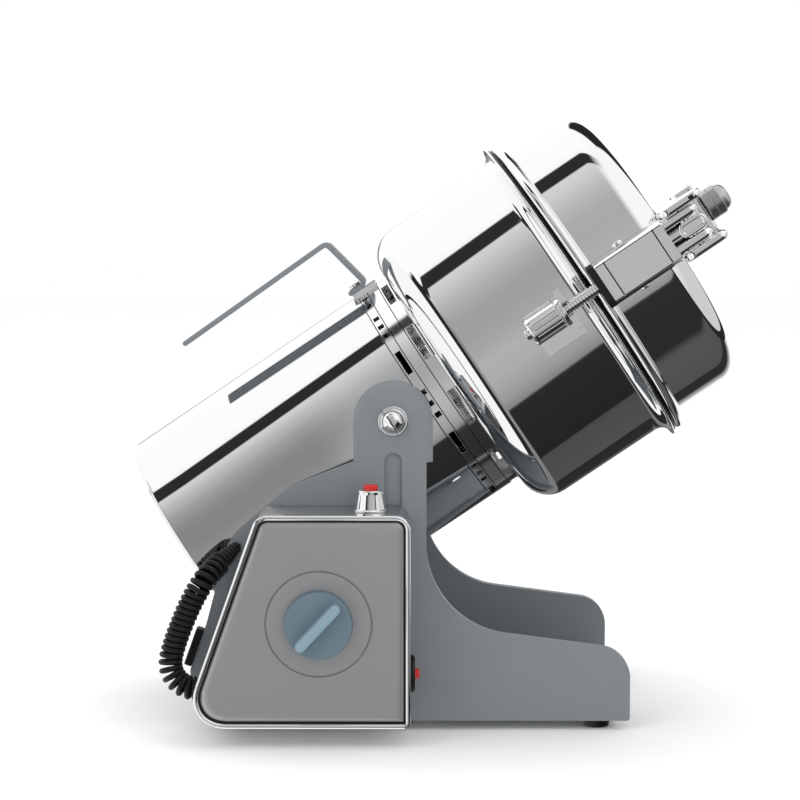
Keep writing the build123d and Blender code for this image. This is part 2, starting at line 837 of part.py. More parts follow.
strap_seat = housing_radius + strap_pad
strap_heel = strap_station - strap_foot
bearing_nose = bracket_start + 2
strap_screws_at = [
    Plane(
        origin=cross.from_local_coords((side * strap_width / 4, strap_seat, strap_heel + strap_screw_inset)),
        x_dir=(0, 1, 0),
        z_dir=rise,
    )
    for side in plate_sides
]

with BuildPart() as motor_bracket:
    with BuildSketch(cross.offset(strap_heel)):      # the handle's pad
        with Locations((0, ring_inner)):
            Rectangle(strap_width + 2, strap_seat - ring_inner, align=(Align.CENTER, Align.MIN))
    extrude(amount=window_start - strap_heel)
    ring(0, housing_radius, strap_heel - 1, bracket_start, mode=Mode.SUBTRACT)
    ring(ring_inner, housing_radius, bracket_start, window_start)
    ring(0, ring_inner, bearing_nose, bearing_nose + bracket_web)
    ring(0, bearing_seat, bearing_nose - bearing_width, bearing_nose + bracket_web)
    ring(0, bearing_radius, bearing_nose - bearing_width, bearing_nose, mode=Mode.SUBTRACT)
    ring(0, shaft_radius + 1, bearing_nose, bearing_nose + bracket_web, mode=Mode.SUBTRACT)
    with BuildSketch(cross.offset(bearing_nose)):
        with PolarLocations((vent_inner + ring_inner - vent_margin) / 2, bracket_windows):
            SlotOverall(ring_inner - vent_margin - vent_inner, bracket_window_width)
    extrude(amount=bracket_web, mode=Mode.SUBTRACT)
    for place in strap_screws_at:
        with BuildSketch(place):
            Circle(small_screw_radius)
        extrude(amount=-2 * strap_pad, mode=Mode.SUBTRACT)
finish(motor_bracket.part, "motor_bracket")

with BuildPart() as window_ring:
    ring(ring_inner, housing_radius, window_start, bowl_start)
    radial_slots(
        window_start + ring_edge, window_ring_width - 2 * ring_edge, window_slot_width, window_slots, window_turn
    )
finish(window_ring.part, "window_ring")

# ------------------------------------------------------------------ motor inside the housing

with BuildPart() as stator:
    ring(stator_bore, housing_radius - housing_wall, stator_span[0], stator_span[1])
finish(stator.part, "stator")

with BuildPart() as stator_windings:
    ring(winding_inner, fan_radius, stator_span[0] - winding_length, stator_span[0])
    ring(winding_inner, fan_radius, stator_span[1], stator_span[1] + winding_length)
finish(stator_windings.part, "stator_windings")

with BuildPart() as bearings:
    ring(shaft_radius + running_gap, bearing_radius, rear_bearing, rear_bearing + bearing_width)
    ring(shaft_radius + running_gap, bearing_radius, bearing_nose - bearing_width, bearing_nose)
finish(bearings.part, "bearings")

brush_station = (commutator_span[0] + commutator_span[1]) / 2

with BuildPart() as brush_holders:
    with BuildSketch(cross.offset(brush_station - brush_size / 2)):
        for side in plate_sides:
            with Locations((side * (commutator_radius + free_gap + brush_reach) / 2, 0)):
                Rectangle(brush_reach - commutator_radius - free_gap, brush_size)
    extrude(amount=brush_size)
    with BuildSketch(cross.offset(rear_bearing)):
        for side in plate_sides:
            with Locations((side * (brush_reach - 4), 0)):
                Rectangle(8, brush_size)
    extrude(amount=brush_station - brush_size / 2 - rear_bearing)
finish(brush_holders.part, "brush_holders")

blade_floor = bowl_start + bowl_wall
lower_blade = blade_floor + lower_blade_lift
upper_blade = blade_floor + upper_blade_lift
blade_top = upper_blade + blade_thickness

with BuildPart() as rotor_shaft:
    ring(0, shaft_radius, rotor_tail - housing_tail, blade_top + blade_nut_height - blade_nut_roof)
finish(rotor_shaft.part, "rotor_shaft")

with BuildPart() as armature:
    ring(
        shaft_radius,
        stator_bore - armature_gap,
        stator_span[0] + armature_inset,
        stator_span[1] - armature_inset,
    )
finish(armature.part, "armature")

with BuildPart() as commutator:
    ring(shaft_radius, commutator_radius, commutator_span[0], commutator_span[1])
finish(commutator.part, "commutator")

with BuildPart() as cooling_fan:
    ring(shaft_radius, fan_radius, fan_span[0], fan_span[0] + fan_plate)
    ring(shaft_radius, shaft_radius + fan_hub, fan_span[0], fan_span[1])
    blade_root = shaft_radius + fan_hub + fan_blade_root
    blade_end = fan_radius - fan_blade_inset
    with BuildSketch(cross.offset(fan_span[0])):
        with PolarLocations((blade_root + blade_end) / 2, fan_blades):
            Rectangle(blade_end - blade_root, fan_blade_thickness)
    extrude(amount=fan_span[1] - fan_span[0])
finish(cooling_fan.part, "cooling_fan")

# ================================================================== grinding bowl and blades

with BuildPart() as grinding_bowl:
    with BuildSketch(meridian):
        with BuildLine():
            outer = FilletPolyline(
                (seal_radius, bowl_start),
                (bowl_radius, bowl_start),
                (bowl_radius, lip_top - lip_thickness - flare_height),
                radius=[bowl_corner],
            )
            flare = TangentArc(
                outer @ 1,
                (lip_radius, lip_top - lip_thickness),
                tangent=outer % 1,
            )
            Polyline(
                flare @ 1,
                (lip_radius, lip_top),
                (bowl_radius - bowl_wall, lip_top),
            )
            FilletPolyline(
                (bowl_radius - bowl_wall, lip_top),
                (bowl_radius - bowl_wall, blade_floor),
                (seal_radius, blade_floor),
                radius=[bowl_corner - bowl_wall],
            )
            Line((seal_radius, blade_floor), (seal_radius, bowl_start))
        make_face()
    revolve(axis=barrel_axis)
finish(grinding_bowl.part, "grinding_bowl")

with BuildPart() as shaft_seal:
    ring(shaft_radius + running_gap, seal_radius, bowl_start, blade_floor + seal_height)
finish(shaft_seal.part, "shaft_seal")

with BuildPart() as gasket:
    ring(bowl_radius - bowl_wall, bowl_radius - bowl_wall + gasket_width, lip_top, lid_start)
finish(gasket.part, "gasket")


with BuildPart() as blades:                          # two arms each, with swept, sharpened ends
    for start, reach, direction in (
        (lower_blade, lower_blade_reach, Vector(0, 1, 0)),
        (upper_blade, upper_blade_reach, rise),
    ):
        half = blade_width / 2
        with BuildSketch(Plane(origin=barrel_centre + along * start, x_dir=direction, z_dir=along)):
            with BuildLine():
                Polyline(
                    (-half, -half),
                    (reach - blade_sweep, -half),
                    (reach, half - blade_tip),
                    (reach - blade_tip, half),
                    (half, half),
                    (blade_sweep - reach, half),
                    (-reach, blade_tip - half),
                    (blade_tip - reach, -half),
                    close=True,
                )
            make_face()
            Circle(shaft_radius, mode=Mode.SUBTRACT)
        extrude(amount=blade_thickness)
finish(blades.part, "blades")

with BuildPart() as blade_spacers:
    ring(shaft_radius, spacer_radius, blade_floor + seal_height + free_gap, lower_blade)
    ring(shaft_radius, spacer_radius, lower_blade + blade_thickness, upper_blade)
finish(blade_spacers.part, "blade_spacers")

with BuildPart() as blade_nut:
    with BuildSketch(cross.offset(blade_top)):
        RegularPolygon(blade_nut_radius, 6)
    extrude(amount=blade_nut_height)
    ring(0, shaft_radius, blade_top, blade_top + blade_nut_height - blade_nut_roof, mode=Mode.SUBTRACT)
finish(blade_nut.part, "blade_nut")

# ================================================================== lid


def dome(radius, end, mode=Mode.ADD):
    """A round cover with a crowned end, closed at the rim's plane."""
    with BuildSketch(meridian) as half_section:
        with BuildLine():
            Polyline((0, end), (0, lid_start), (radius, lid_start), (radius, end - lid_crown))
            ThreePointArc(
                (radius, end - lid_crown),
                (radius / 2, end - lid_crown / 4),
                (0, end),
            )
        make_face()
    revolve(half_section.sketch, axis=barrel_axis, mode=mode)


with BuildPart() as lid_shell:
    dome(lid_radius, lid_end)
    fillet(lid_shell.edges().group_by(barrel_axis)[-2], lid_corner)
    with BuildSketch(meridian):                      # rolled rim
        with Locations((lid_radius + bead_overhang, lid_start + bead_radius)):
            Circle(bead_radius)
        with BuildLine():
            Polyline(
                (lid_radius - lid_wall, lid_start),
                (lid_radius + bead_overhang, lid_start),
                (lid_radius + bead_overhang, lid_start + 2 * bead_radius),
                (lid_radius - lid_wall, lid_start + 2 * bead_radius),
                close=True,
            )
        make_face()
    revolve(axis=barrel_axis)
with BuildPart() as lid_hollow:
    dome(lid_radius - lid_wall, lid_end - lid_wall)
    fillet(lid_hollow.edges().group_by(barrel_axis)[-2], lid_corner - lid_wall)
with BuildPart() as lid:
    add(lid_shell.part)
    add(lid_hollow.part, mode=Mode.SUBTRACT)
finish(lid.part, "lid")

# ================================================================== lid hinge, on the far side


def far_leaf(points, half_width, mode=Mode.ADD):
    """A leaf of the hinge, drawn as (station, outward): the far side is outward below zero."""
    with BuildSketch(lengthwise) as leaf:
        with BuildLine():
            Polyline(*points, close=True)
        make_face()
    extrude(leaf.sketch, amount=half_width, both=True, mode=mode)


def far_round(radius, half_width, mode=Mode.ADD):
    """A cylinder about the hinge's axis."""
    with BuildSketch(lengthwise) as section:
        with Locations((hinge_station, -hinge_out)):
            Circle(radius)
    extrude(section.sketch, amount=half_width, both=True, mode=mode)


flare_start = lip_top - lip_thickness - flare_height

with BuildPart() as bowl_hinge_leaf:
    far_leaf(
        [
            (flare_start - 2 - hinge_leaf_length, -bowl_radius + 4),
            (flare_start - 2, -bowl_radius + 4),
            (flare_start - 2, -bowl_radius - 1),
            (lip_top - lip_thickness - 2, -lip_radius - hinge_gap),
            (hinge_station, -hinge_out),
            (hinge_station - 4, -hinge_out - hinge_knuckle + 0.5),
            (flare_start - 8, -bowl_radius - hinge_leaf),
            (flare_start - 2 - hinge_leaf_length, -bowl_radius - hinge_leaf),
        ],
        hinge_width / 2,
    )
    far_round(hinge_knuckle, hinge_width / 2)
    ring(0, bowl_radius, bowl_start, lid_start, mode=Mode.SUBTRACT)
    with BuildSketch(lengthwise):
        with Locations((hinge_station, -hinge_out)):
            Circle(hinge_knuckle + 1.5)
    extrude(amount=hinge_middle / 2 + free_gap, both=True, mode=Mode.SUBTRACT)
    far_round(hinge_pin_radius, hinge_width, mode=Mode.SUBTRACT)
finish(bowl_hinge_leaf.part, "bowl_hinge_leaf")

bead_top = lid_start + 2 * bead_radius

with BuildPart() as lid_hinge_leaf:
    far_leaf(
        [
            (bead_top + 2 + hinge_leaf_length, -lid_radius + 4),
            (bead_top + 2, -lid_radius + 4),
            (bead_top + 2, -lid_radius - bead_overhang),
            (bead_top, -lid_radius - bead_overhang - bead_radius - hinge_gap),
            (hinge_station + 2, -hinge_out + 3),
            (hinge_station, -hinge_out),
            (hinge_station + 3, -hinge_out - hinge_knuckle + 1),
            (bead_top + 8, -lid_radius - hinge_leaf),
            (bead_top + 2 + hinge_leaf_length, -lid_radius - hinge_leaf),
        ],
        hinge_middle / 2,
    )
    far_leaf(
        [
            (bead_top + 2 + hinge_leaf_length, -lid_radius + 4),
            (bead_top + 4, -lid_radius + 4),
            (bead_top + 4, -lid_radius - hinge_leaf),
            (bead_top + 2 + hinge_leaf_length, -lid_radius - hinge_leaf),
        ],
        hinge_width / 2,
    )
    far_round(hinge_knuckle, hinge_middle / 2)
    ring(0, lid_radius, lid_start, lid_end, mode=Mode.SUBTRACT)
    far_round(hinge_pin_radius + running_gap, hinge_middle, mode=Mode.SUBTRACT)
finish(lid_hinge_leaf.part, "lid_hinge_leaf")

with BuildPart() as hinge_pin:
    far_round(hinge_pin_radius, hinge_width / 2 + 1)
finish(hinge_pin.part, "hinge_pin")

# ================================================================== latch, on the near side

with BuildPart() as latch_tongue:
    with BuildSketch(lengthwise):
        with Locations((pin_station, pin_out)):
            Circle(tongue_radius)
        with BuildLine():
            Polyline(
                (pin_station - tongue_foot / 2, lid_radius - 4),
                (pin_station - tongue_radius, pin_out),
                (pin_station + tongue_radius, pin_out),
                (pin_station + tongue_foot / 2, lid_radius - 4),
                close=True,
            )
        make_face()
    extrude(amount=tongue_width / 2, both=True)
    ring(0, lid_radius, lid_start, lid_end, mode=Mode.SUBTRACT)
    cross_pin(pin_station, pin_out, pin_radius + running_gap, tongue_width, mode=Mode.SUBTRACT)
finish(latch_tongue.part, "latch_tongue")

block_face = rod_out + block_outer
yoke_inner = rod_out - yoke_depth / 2

with BuildPart() as latch_block:
    with BuildSketch(lengthwise):                    # side view: the lid's side is relieved for the swing
        with BuildLine():
            Polyline(
                (block_start, lid_radius + bead_overhang + bead_radius + block_relief),
                (block_start + 6, lid_radius + block_relief),
                (pin_station, lid_radius + block_relief),
                (block_end, rod_out - 7.5),
                (block_end, block_face),
                (block_start, block_face),
                close=True,
            )
        make_face()
    extrude(amount=block_width / 2, both=True)
    chamfer(latch_block.edges().filter_by(barrel_axis).sort_by(Axis.Y)[:2], block_bevel)
    with BuildSketch(lengthwise):                    # grooves across its face, near both ends
        with Locations((block_start + groove_inset, block_face), (block_end - groove_inset, block_face)):
            Rectangle(block_groove, 2 * block_groove)
    extrude(amount=block_width, both=True, mode=Mode.SUBTRACT)
    with BuildSketch(lengthwise):                    # slot for the lid's tongue
        with BuildLine():
            Polyline(
                (block_start + 4, 0),
                (block_start + 4, pin_out + tongue_radius + 0.5),
                (pin_station + tongue_foot / 2 + 3, pin_out + tongue_radius + 0.5),
                (pin_station + tongue_foot / 2 + 3, 0),
                close=True,
            )
        make_face()
    extrude(amount=tongue_width / 2 + free_gap, both=True, mode=Mode.SUBTRACT)
    with BuildSketch(lengthwise):                    # yoke cheeks for the lever
        with Locations((block_end - 1, yoke_inner)):
            Rectangle(yoke_length - yoke_depth / 2 + 1, yoke_depth, align=(Align.MIN, Align.MIN))
        with Locations((block_end + yoke_length - yoke_depth / 2, rod_out)):
            Circle(yoke_depth / 2)
    extrude(amount=yoke_outer / 2, both=True)
    with BuildSketch(lengthwise):
        with Locations((block_end, 0)):
            Rectangle(yoke_length + 1, 2 * rod_out, align=(Align.MIN, Align.MIN))
    extrude(amount=yoke_gap / 2, both=True, mode=Mode.SUBTRACT)
    rod(block_start - 1, block_end + 1, rod_radius + running_gap, mode=Mode.SUBTRACT)
    cross_pin(pin_station, pin_out, pin_radius, block_width, mode=Mode.SUBTRACT)
    cross_pin(lever_station, rod_out, lever_pin_radius + running_gap, block_width, mode=Mode.SUBTRACT)
finish(latch_block.part, "latch_block")

with BuildPart() as latch_pin:
    cross_pin(pin_station, pin_out, pin_radius, block_width / 2)
    for side in plate_sides:
        head = lengthwise.offset(side * block_width / 2)
        with BuildSketch(head):
            with Locations((pin_station, pin_out)):
                Circle(pin_head_radius)
        extrude(amount=side * pin_head_height)
    fillet(latch_pin.edges().filter_by(GeomType.CIRCLE).group_by(Axis(pivot, rise))[0], pin_head_rounding)
    fillet(latch_pin.edges().filter_by(GeomType.CIRCLE).group_by(Axis(pivot, rise))[-1], pin_head_rounding)
finish(latch_pin.part, "latch_pin")

with BuildPart() as latch_pad:
    pad_seat = lengthwise.from_local_coords((block_start, block_face - pad_width / 2 - 1, 0))
    with BuildSketch(Plane(origin=pad_seat, x_dir=rise, z_dir=along * -1)):
        SlotOverall(pad_length, pad_width)
    extrude(amount=pad_thickness)
    rod(block_start - 2 * pad_thickness, block_start, rod_radius + free_gap, mode=Mode.SUBTRACT)
finish(latch_pad.part, "latch_pad")

pin_bore = lever_pin_radius + running_gap

with BuildPart() as draw_rod:
    rod(nut_bottom - rod_tail, lever_station - eye_length / 2 + 2, rod_radius)
    with BuildSketch(lengthwise):
        with Locations((lever_station, rod_out)):
            SlotOverall(eye_length, yoke_depth - 1)
    extrude(amount=eye_width / 2, both=True)
    with BuildSketch(lengthwise):                    # the lever's pin rides in this slot
        with Locations((lever_station + rod_throw / 2, rod_out)):
            SlotOverall(2 * pin_bore + rod_throw, 2 * pin_bore)
    extrude(amount=eye_width, both=True, mode=Mode.SUBTRACT)
    with BuildSketch(broadside.offset(rod_out + yoke_depth / 2 - 0.5 - eye_dimple[1])):
        with Locations((lever_station, 0)):
            SlotOverall(eye_length - 6, eye_dimple[0])
    extrude(amount=eye_dimple[1], mode=Mode.SUBTRACT)
finish(draw_rod.part, "draw_rod")

with BuildPart() as nut_collar:
    rod(nut_top, collar_top, collar_radius)
    rod(nut_top, collar_top, rod_radius + running_gap, mode=Mode.SUBTRACT)
finish(nut_collar.part, "nut_collar")

with BuildPart() as knurled_nut:
    rod(nut_bottom, nut_top, nut_radius)
    chamfer(knurled_nut.edges().filter_by(GeomType.CIRCLE), nut_edge)
    with BuildSketch(lengthwise_end(nut_bottom + nut_step)):
        with PolarLocations(nut_radius + rib_radius / 2, nut_ribs):
            Circle(rib_radius)
    extrude(amount=nut_height - nut_step - nut_edge, mode=Mode.SUBTRACT)
    rod(nut_bottom, nut_top, rod_radius + running_gap, mode=Mode.SUBTRACT)
finish(knurled_nut.part, "knurled_nut")

with BuildPart() as latch_lug:
    base_length, base_width, base_lift = lug_base
    with BuildSketch(broadside.offset(bowl_radius - 8)):
        with Locations((lug_top - base_length / 2, -lug_base_shift)):
            Rectangle(base_length, base_width)
    extrude(amount=8 + base_lift)
    with BuildSketch(Plane(origin=pivot + along * lug_top, x_dir=rise, z_dir=along)):
        with Locations((0, rod_out + lug_reach)):
            Rectangle(lug_width, rod_out + lug_reach - bowl_radius + 8, align=(Align.CENTER, Align.MAX))
        with Locations((0, rod_out)):
            Circle(lug_slot / 2, mode=Mode.SUBTRACT)
            Rectangle(lug_slot, 2 * lug_reach, align=(Align.CENTER, Align.MIN), mode=Mode.SUBTRACT)
    extrude(amount=-lug_thickness)
    ring(0, bowl_radius, bowl_start, lid_start, mode=Mode.SUBTRACT)
finish(latch_lug.part, "latch_lug")

# ------------------------------------------------------------------ clamping lever

bow_out = rod_out - lever_bend

with BuildPart() as cam_lever:
    with BuildSketch(lengthwise):
        with Locations((lever_station, rod_out)):
            Circle(lever_hub)
        with BuildLine():
            FilletPolyline(
                (lever_station - 4, rod_out),
                (lever_station - 4, bow_out - lever_bar / 2),
                (lever_station + lever_rise, bow_out - lever_bar / 2),
                (lever_station + lever_rise, bow_out + lever_bar / 2),
                (lever_station + 3, bow_out + lever_bar / 2),
                (lever_station + 3, rod_out),
                radius=[7, 2, 2, 5],
            )
            Line((lever_station + 3, rod_out), (lever_station - 4, rod_out))
        make_face()
    extrude(amount=lever_width / 2, both=True)
    with BuildSketch(lengthwise):                    # open between the arms, up to the crossbar
        with Locations((lever_station + lever_rise - lever_bar, 0)):
            Rectangle(4 * lever_rise, 3 * rod_out, align=(Align.MAX, Align.CENTER))
    extrude(amount=lever_width / 2 - lever_arm, both=True, mode=Mode.SUBTRACT)
    cross_pin(lever_station, rod_out, lever_pin_radius, lever_width / 2)
finish(cam_lever.part, "cam_lever")

with BuildPart() as lever_knob:
    knob_place = lengthwise.from_local_coords((lever_station + lever_rise, bow_out, 0))
    knob_seat = Plane(origin=knob_place, x_dir=rise, z_dir=along)
    with BuildSketch(knob_seat):
        Circle(knob_stem_radius)
    extrude(amount=knob_stem_height)
    with BuildSketch(Plane(origin=knob_seat.origin, x_dir=rise, z_dir=(0, 1, 0))):
        with BuildLine():
            Line((0, knob_stem_height), (knob_stem_radius - 1, knob_stem_height))
            RadiusArc(
                (knob_stem_radius - 1, knob_stem_height),
                (0, knob_stem_height + knob_dome_height),
                -dome_radius(knob_stem_radius - 1, knob_dome_height),
            )
            Line((0, knob_stem_height + knob_dome_height), (0, knob_stem_height))
        make_face()
    revolve(axis=Axis(knob_seat.origin, along))
finish(lever_knob.part, "lever_knob")

# ================================================================== carrying handle

strap_base = strap_seat - axis_drop

with BuildPart() as handle_strap:
    with BuildSketch(broadside):
        with BuildLine() as strap_line:
            strap_path = FilletPolyline(
                (strap_station - strap_foot, strap_base + strap_thickness / 2),
                (strap_station, strap_base + strap_thickness / 2),
                (strap_bend[0], strap_base + strap_bend[1]),
                (strap_end[0], strap_base + strap_end[1]),
                radius=[strap_thickness, strap_bend_radius],
            )
            offset(amount=strap_thickness / 2, side=Side.BOTH, kind=Kind.TANGENT)
        make_face()
    extrude(amount=strap_width / 2, both=True)
    for place in strap_screws_at:
        with BuildSketch(place):
            Circle(small_screw_radius)
        extrude(amount=strap_thickness, mode=Mode.SUBTRACT)
finish(handle_strap.part, "handle_strap")

with BuildPart() as strap_screws:
    for place in strap_screws_at:
        with BuildSketch(place.offset(strap_thickness)):
            Circle(small_screw_radius)
        extrude(amount=-strap_thickness - strap_pad)
        with BuildSketch(place.offset(strap_thickness)):
            Circle(small_head_radius)
        extrude(amount=small_head_height)
finish(strap_screws.part, "strap_screws")

# ================================================================== cord and glands

mains_gland = Plane(
    origin=near_face.from_local_coords((inlet_place[0], inlet_place[1], 0)),
    x_dir=(1, 0, 0),
    z_dir=(0, 1, 0),
)
cord_points = [Vector(pivot_x + x, middle_y - plate_outer - out, z) for x, out, z in cord_route]
tail_tip = Vector(pivot_x + tail_place[0], middle_y - plate_outer, tail_place[1])
tail_axis = (tail_tip - cord_points[-1]).normalized()
cord_points.append(tail_tip - tail_axis * tail_length)

with BuildPart() as cord_glands:
    with BuildSketch(cord_port):
        Circle(gland_radius)
    extrude(amount=-gland_length)
    with BuildSketch(mains_gland):
        Circle(gland_radius)
    extrude(amount=gland_length)
    with BuildSketch(mains_gland):
        Circle(gland_neck)
    extrude(amount=-plate_thickness)
    with BuildSketch(Plane(origin=cord_points[-1], z_dir=tail_axis)):
        Circle(cord_radius)
    with BuildSketch(Plane(origin=tail_tip + tail_axis * tail_radius, z_dir=tail_axis)):
        Circle(tail_radius)
    loft()
    with BuildSketch(outer_face):
        with Locations(tail_place):
            Circle(3 * gland_radius)
    extrude(amount=-plate_thickness, mode=Mode.SUBTRACT)
finish(cord_glands.part, "cord_glands")


def bend_radius(before, corner, after):
    """The largest arc that the two runs beside a corner of the cord leave room for."""
    turn = radians((corner - before).get_angle(after - corner))
    return 0.45 * min((corner - before).length, (after - corner).length) / tan(turn / 2)


cord_radii = [bend_radius(*cord_points[i - 1 : i + 2]) for i in range(1, len(cord_points) - 1)]
print("cord radii", [round(r, 1) for r in cord_radii])
print("cord runs", [round((b - a).length, 1) for a, b in zip(cord_points, cord_points[1:])])

with BuildPart() as curly_cord:
    with BuildLine():
        cord_line = FilletPolyline(*cord_points, radius=cord_radii)
    with BuildSketch(Plane(origin=cord_line @ 0, z_dir=cord_line % 0)):
        Circle(cord_radius)
    sweep()
print("cord", round(curly_cord.part.volume), round(pi * cord_radius**2 * cord_line.length))
finish(curly_cord.part, "curly_cord")
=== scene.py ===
import json
import math

import bmesh
import bpy
from mathutils import Matrix, Vector

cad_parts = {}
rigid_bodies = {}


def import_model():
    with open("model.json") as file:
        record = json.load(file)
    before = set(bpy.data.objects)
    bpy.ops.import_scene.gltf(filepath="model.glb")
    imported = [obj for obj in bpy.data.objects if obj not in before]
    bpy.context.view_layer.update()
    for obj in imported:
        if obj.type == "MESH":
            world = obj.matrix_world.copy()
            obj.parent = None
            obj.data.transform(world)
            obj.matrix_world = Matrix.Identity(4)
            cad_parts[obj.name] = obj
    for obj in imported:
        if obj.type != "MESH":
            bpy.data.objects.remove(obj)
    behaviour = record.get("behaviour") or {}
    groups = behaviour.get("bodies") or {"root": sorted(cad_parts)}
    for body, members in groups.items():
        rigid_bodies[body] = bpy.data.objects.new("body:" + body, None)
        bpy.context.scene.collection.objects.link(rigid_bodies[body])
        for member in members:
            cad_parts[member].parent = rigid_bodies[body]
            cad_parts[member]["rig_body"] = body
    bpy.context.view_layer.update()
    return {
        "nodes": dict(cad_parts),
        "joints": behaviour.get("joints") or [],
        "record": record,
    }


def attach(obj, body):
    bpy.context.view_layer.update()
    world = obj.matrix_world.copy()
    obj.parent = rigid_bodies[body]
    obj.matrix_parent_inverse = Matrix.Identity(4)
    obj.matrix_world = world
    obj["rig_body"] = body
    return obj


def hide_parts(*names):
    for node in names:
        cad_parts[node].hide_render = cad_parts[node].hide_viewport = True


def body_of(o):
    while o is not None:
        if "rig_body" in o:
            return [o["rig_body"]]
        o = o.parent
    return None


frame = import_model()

bl_info = {
    "name": "Grain Mill",
    "version": (1, 0, 0),
    "blender": (4, 5, 0),
    "location": "3D View > Sidebar > Mill",
    "description": "Dresses a tilting grain mill: polished barrel, clamping latch, control box and curly cord",
    "category": "Mesh",
}

MM = 0.001
joints = {joint["name"]: joint for joint in frame["joints"]}
slots = {part["node"]: part["material_slot"] for part in frame["record"]["subparts"]}

# ------------------------------------------------------------------ the mill's own directions

SWING = Vector(joints["mill_swing"]["pos_m"])
ALONG = Vector(joints["rotor_spin"]["axis"]).normalized()
OUT = Vector((0, -1, 0))                     # from the middle to the near side
RISE = OUT.cross(ALONG)
UP = Vector((0, 0, 1))
FORE = Vector((1, 0, 0))


def placed(origin, x, y, z):
    """The matrix that sets a shape drawn on its own axes at an origin."""
    turn = Matrix((x, y, z)).transposed().to_4x4()
    return Matrix.Translation(origin) @ turn


def shift(x, y, z):
    """The matrix that moves a shape along its own axes."""
    return Matrix.Translation((x, y, z))


BARREL = placed(Vector(joints["rotor_spin"]["pos_m"]), RISE, OUT, ALONG)   # z runs along the barrel
LATCH = placed(SWING, RISE, OUT, ALONG)                                    # the same, from the swing axis
NEAR = placed(SWING, ALONG, RISE, OUT)                                     # z runs out of the near side
FAR = placed(SWING, RISE, ALONG, OUT * -1)                                 # z runs out of the far side
SIDE = placed(SWING, ALONG, OUT, RISE * -1)                                # x along the barrel, y out, z down
FRONT = placed(Vector((SWING.x, SWING.y, 0)), FORE, UP, OUT)               # x fore, y up, z out


def station(place):
    """How far along the barrel a place lies from the swing axis."""
    return (place - SWING).dot(ALONG)


def length(name, description, millimetres):
    """A length for the sidebar."""
    return bpy.props.FloatProperty(
        name=name, description=description, default=millimetres * MM, unit="LENGTH", precision=5
    )


def colour(name, description, red, green, blue):
    """A colour for the sidebar."""
    return bpy.props.FloatVectorProperty(
        name=name, description=description, default=(red, green, blue), subtype="COLOR", size=3, min=0, max=1
    )


class BarrelSizes(bpy.types.PropertyGroup):
    """Housing, bowl and lid: radii, and stations along the barrel from the swing axis."""

    housing_radius: length("Housing radius", "Outside of the motor housing", 80)
    housing_wall: length("Housing wall", "Sheet of the motor housing", 2)
    housing_tail: length("Housing tail", "Swing axis to the closed end", 158)
    housing_nose: length("Housing nose", "Swing axis to the vent ring", 22)
    vent_end: length("Vent ring, end", "Swing axis to the bracket ring", 28.5)
    bracket_end: length("Bracket ring, end", "Swing axis to the window ring", 36.5)
    housing_edge: length("Housing edge", "Rounding of the closed end", 2.6)
    tail_rim: length("Tail rim", "Width of the rim turned in at the closed end", 18)
    bowl_radius: length("Bowl radius", "Outside of the grinding bowl and the lid", 104)
    bowl_wall: length("Bowl wall", "Sheet of the bowl and the lid", 2)
    bowl_start: length("Bowl start", "Station of the bowl's underside", 44)
    bowl_corner: length("Bowl corner", "Rounding of the bowl's underside", 20)
    lip_station: length("Lip", "Station of the top of the bowl's lip", 145.5)
    lip_reach: length("Lip reach", "The lip beyond the bowl's wall", 9)
    lip_sheet: length("Lip sheet", "Thickness of the lip", 1.5)
    flare: length("Flare", "Rounding below the lip", 8)
    seal_radius: length("Seal radius", "Hole for the shaft's seal", 12)
    gasket_width: length("Gasket width", "Sealing ring between bowl and lid", 9)
    gasket_height: length("Gasket height", "Thickness of the sealing ring", 1.5)
    lid_end: length("Lid end", "Station of the crown's middle", 211)
    lid_corner: length("Lid corner", "Rounding between the lid's wall and its crown", 18)
    lid_crown: length("Lid crown", "Rise of the crown", 4)
    bead_radius: length("Bead radius", "Rolled rim of the lid", 4)
    bead_reach: length("Bead reach", "Middle of the rolled rim beyond the lid's wall", 3)


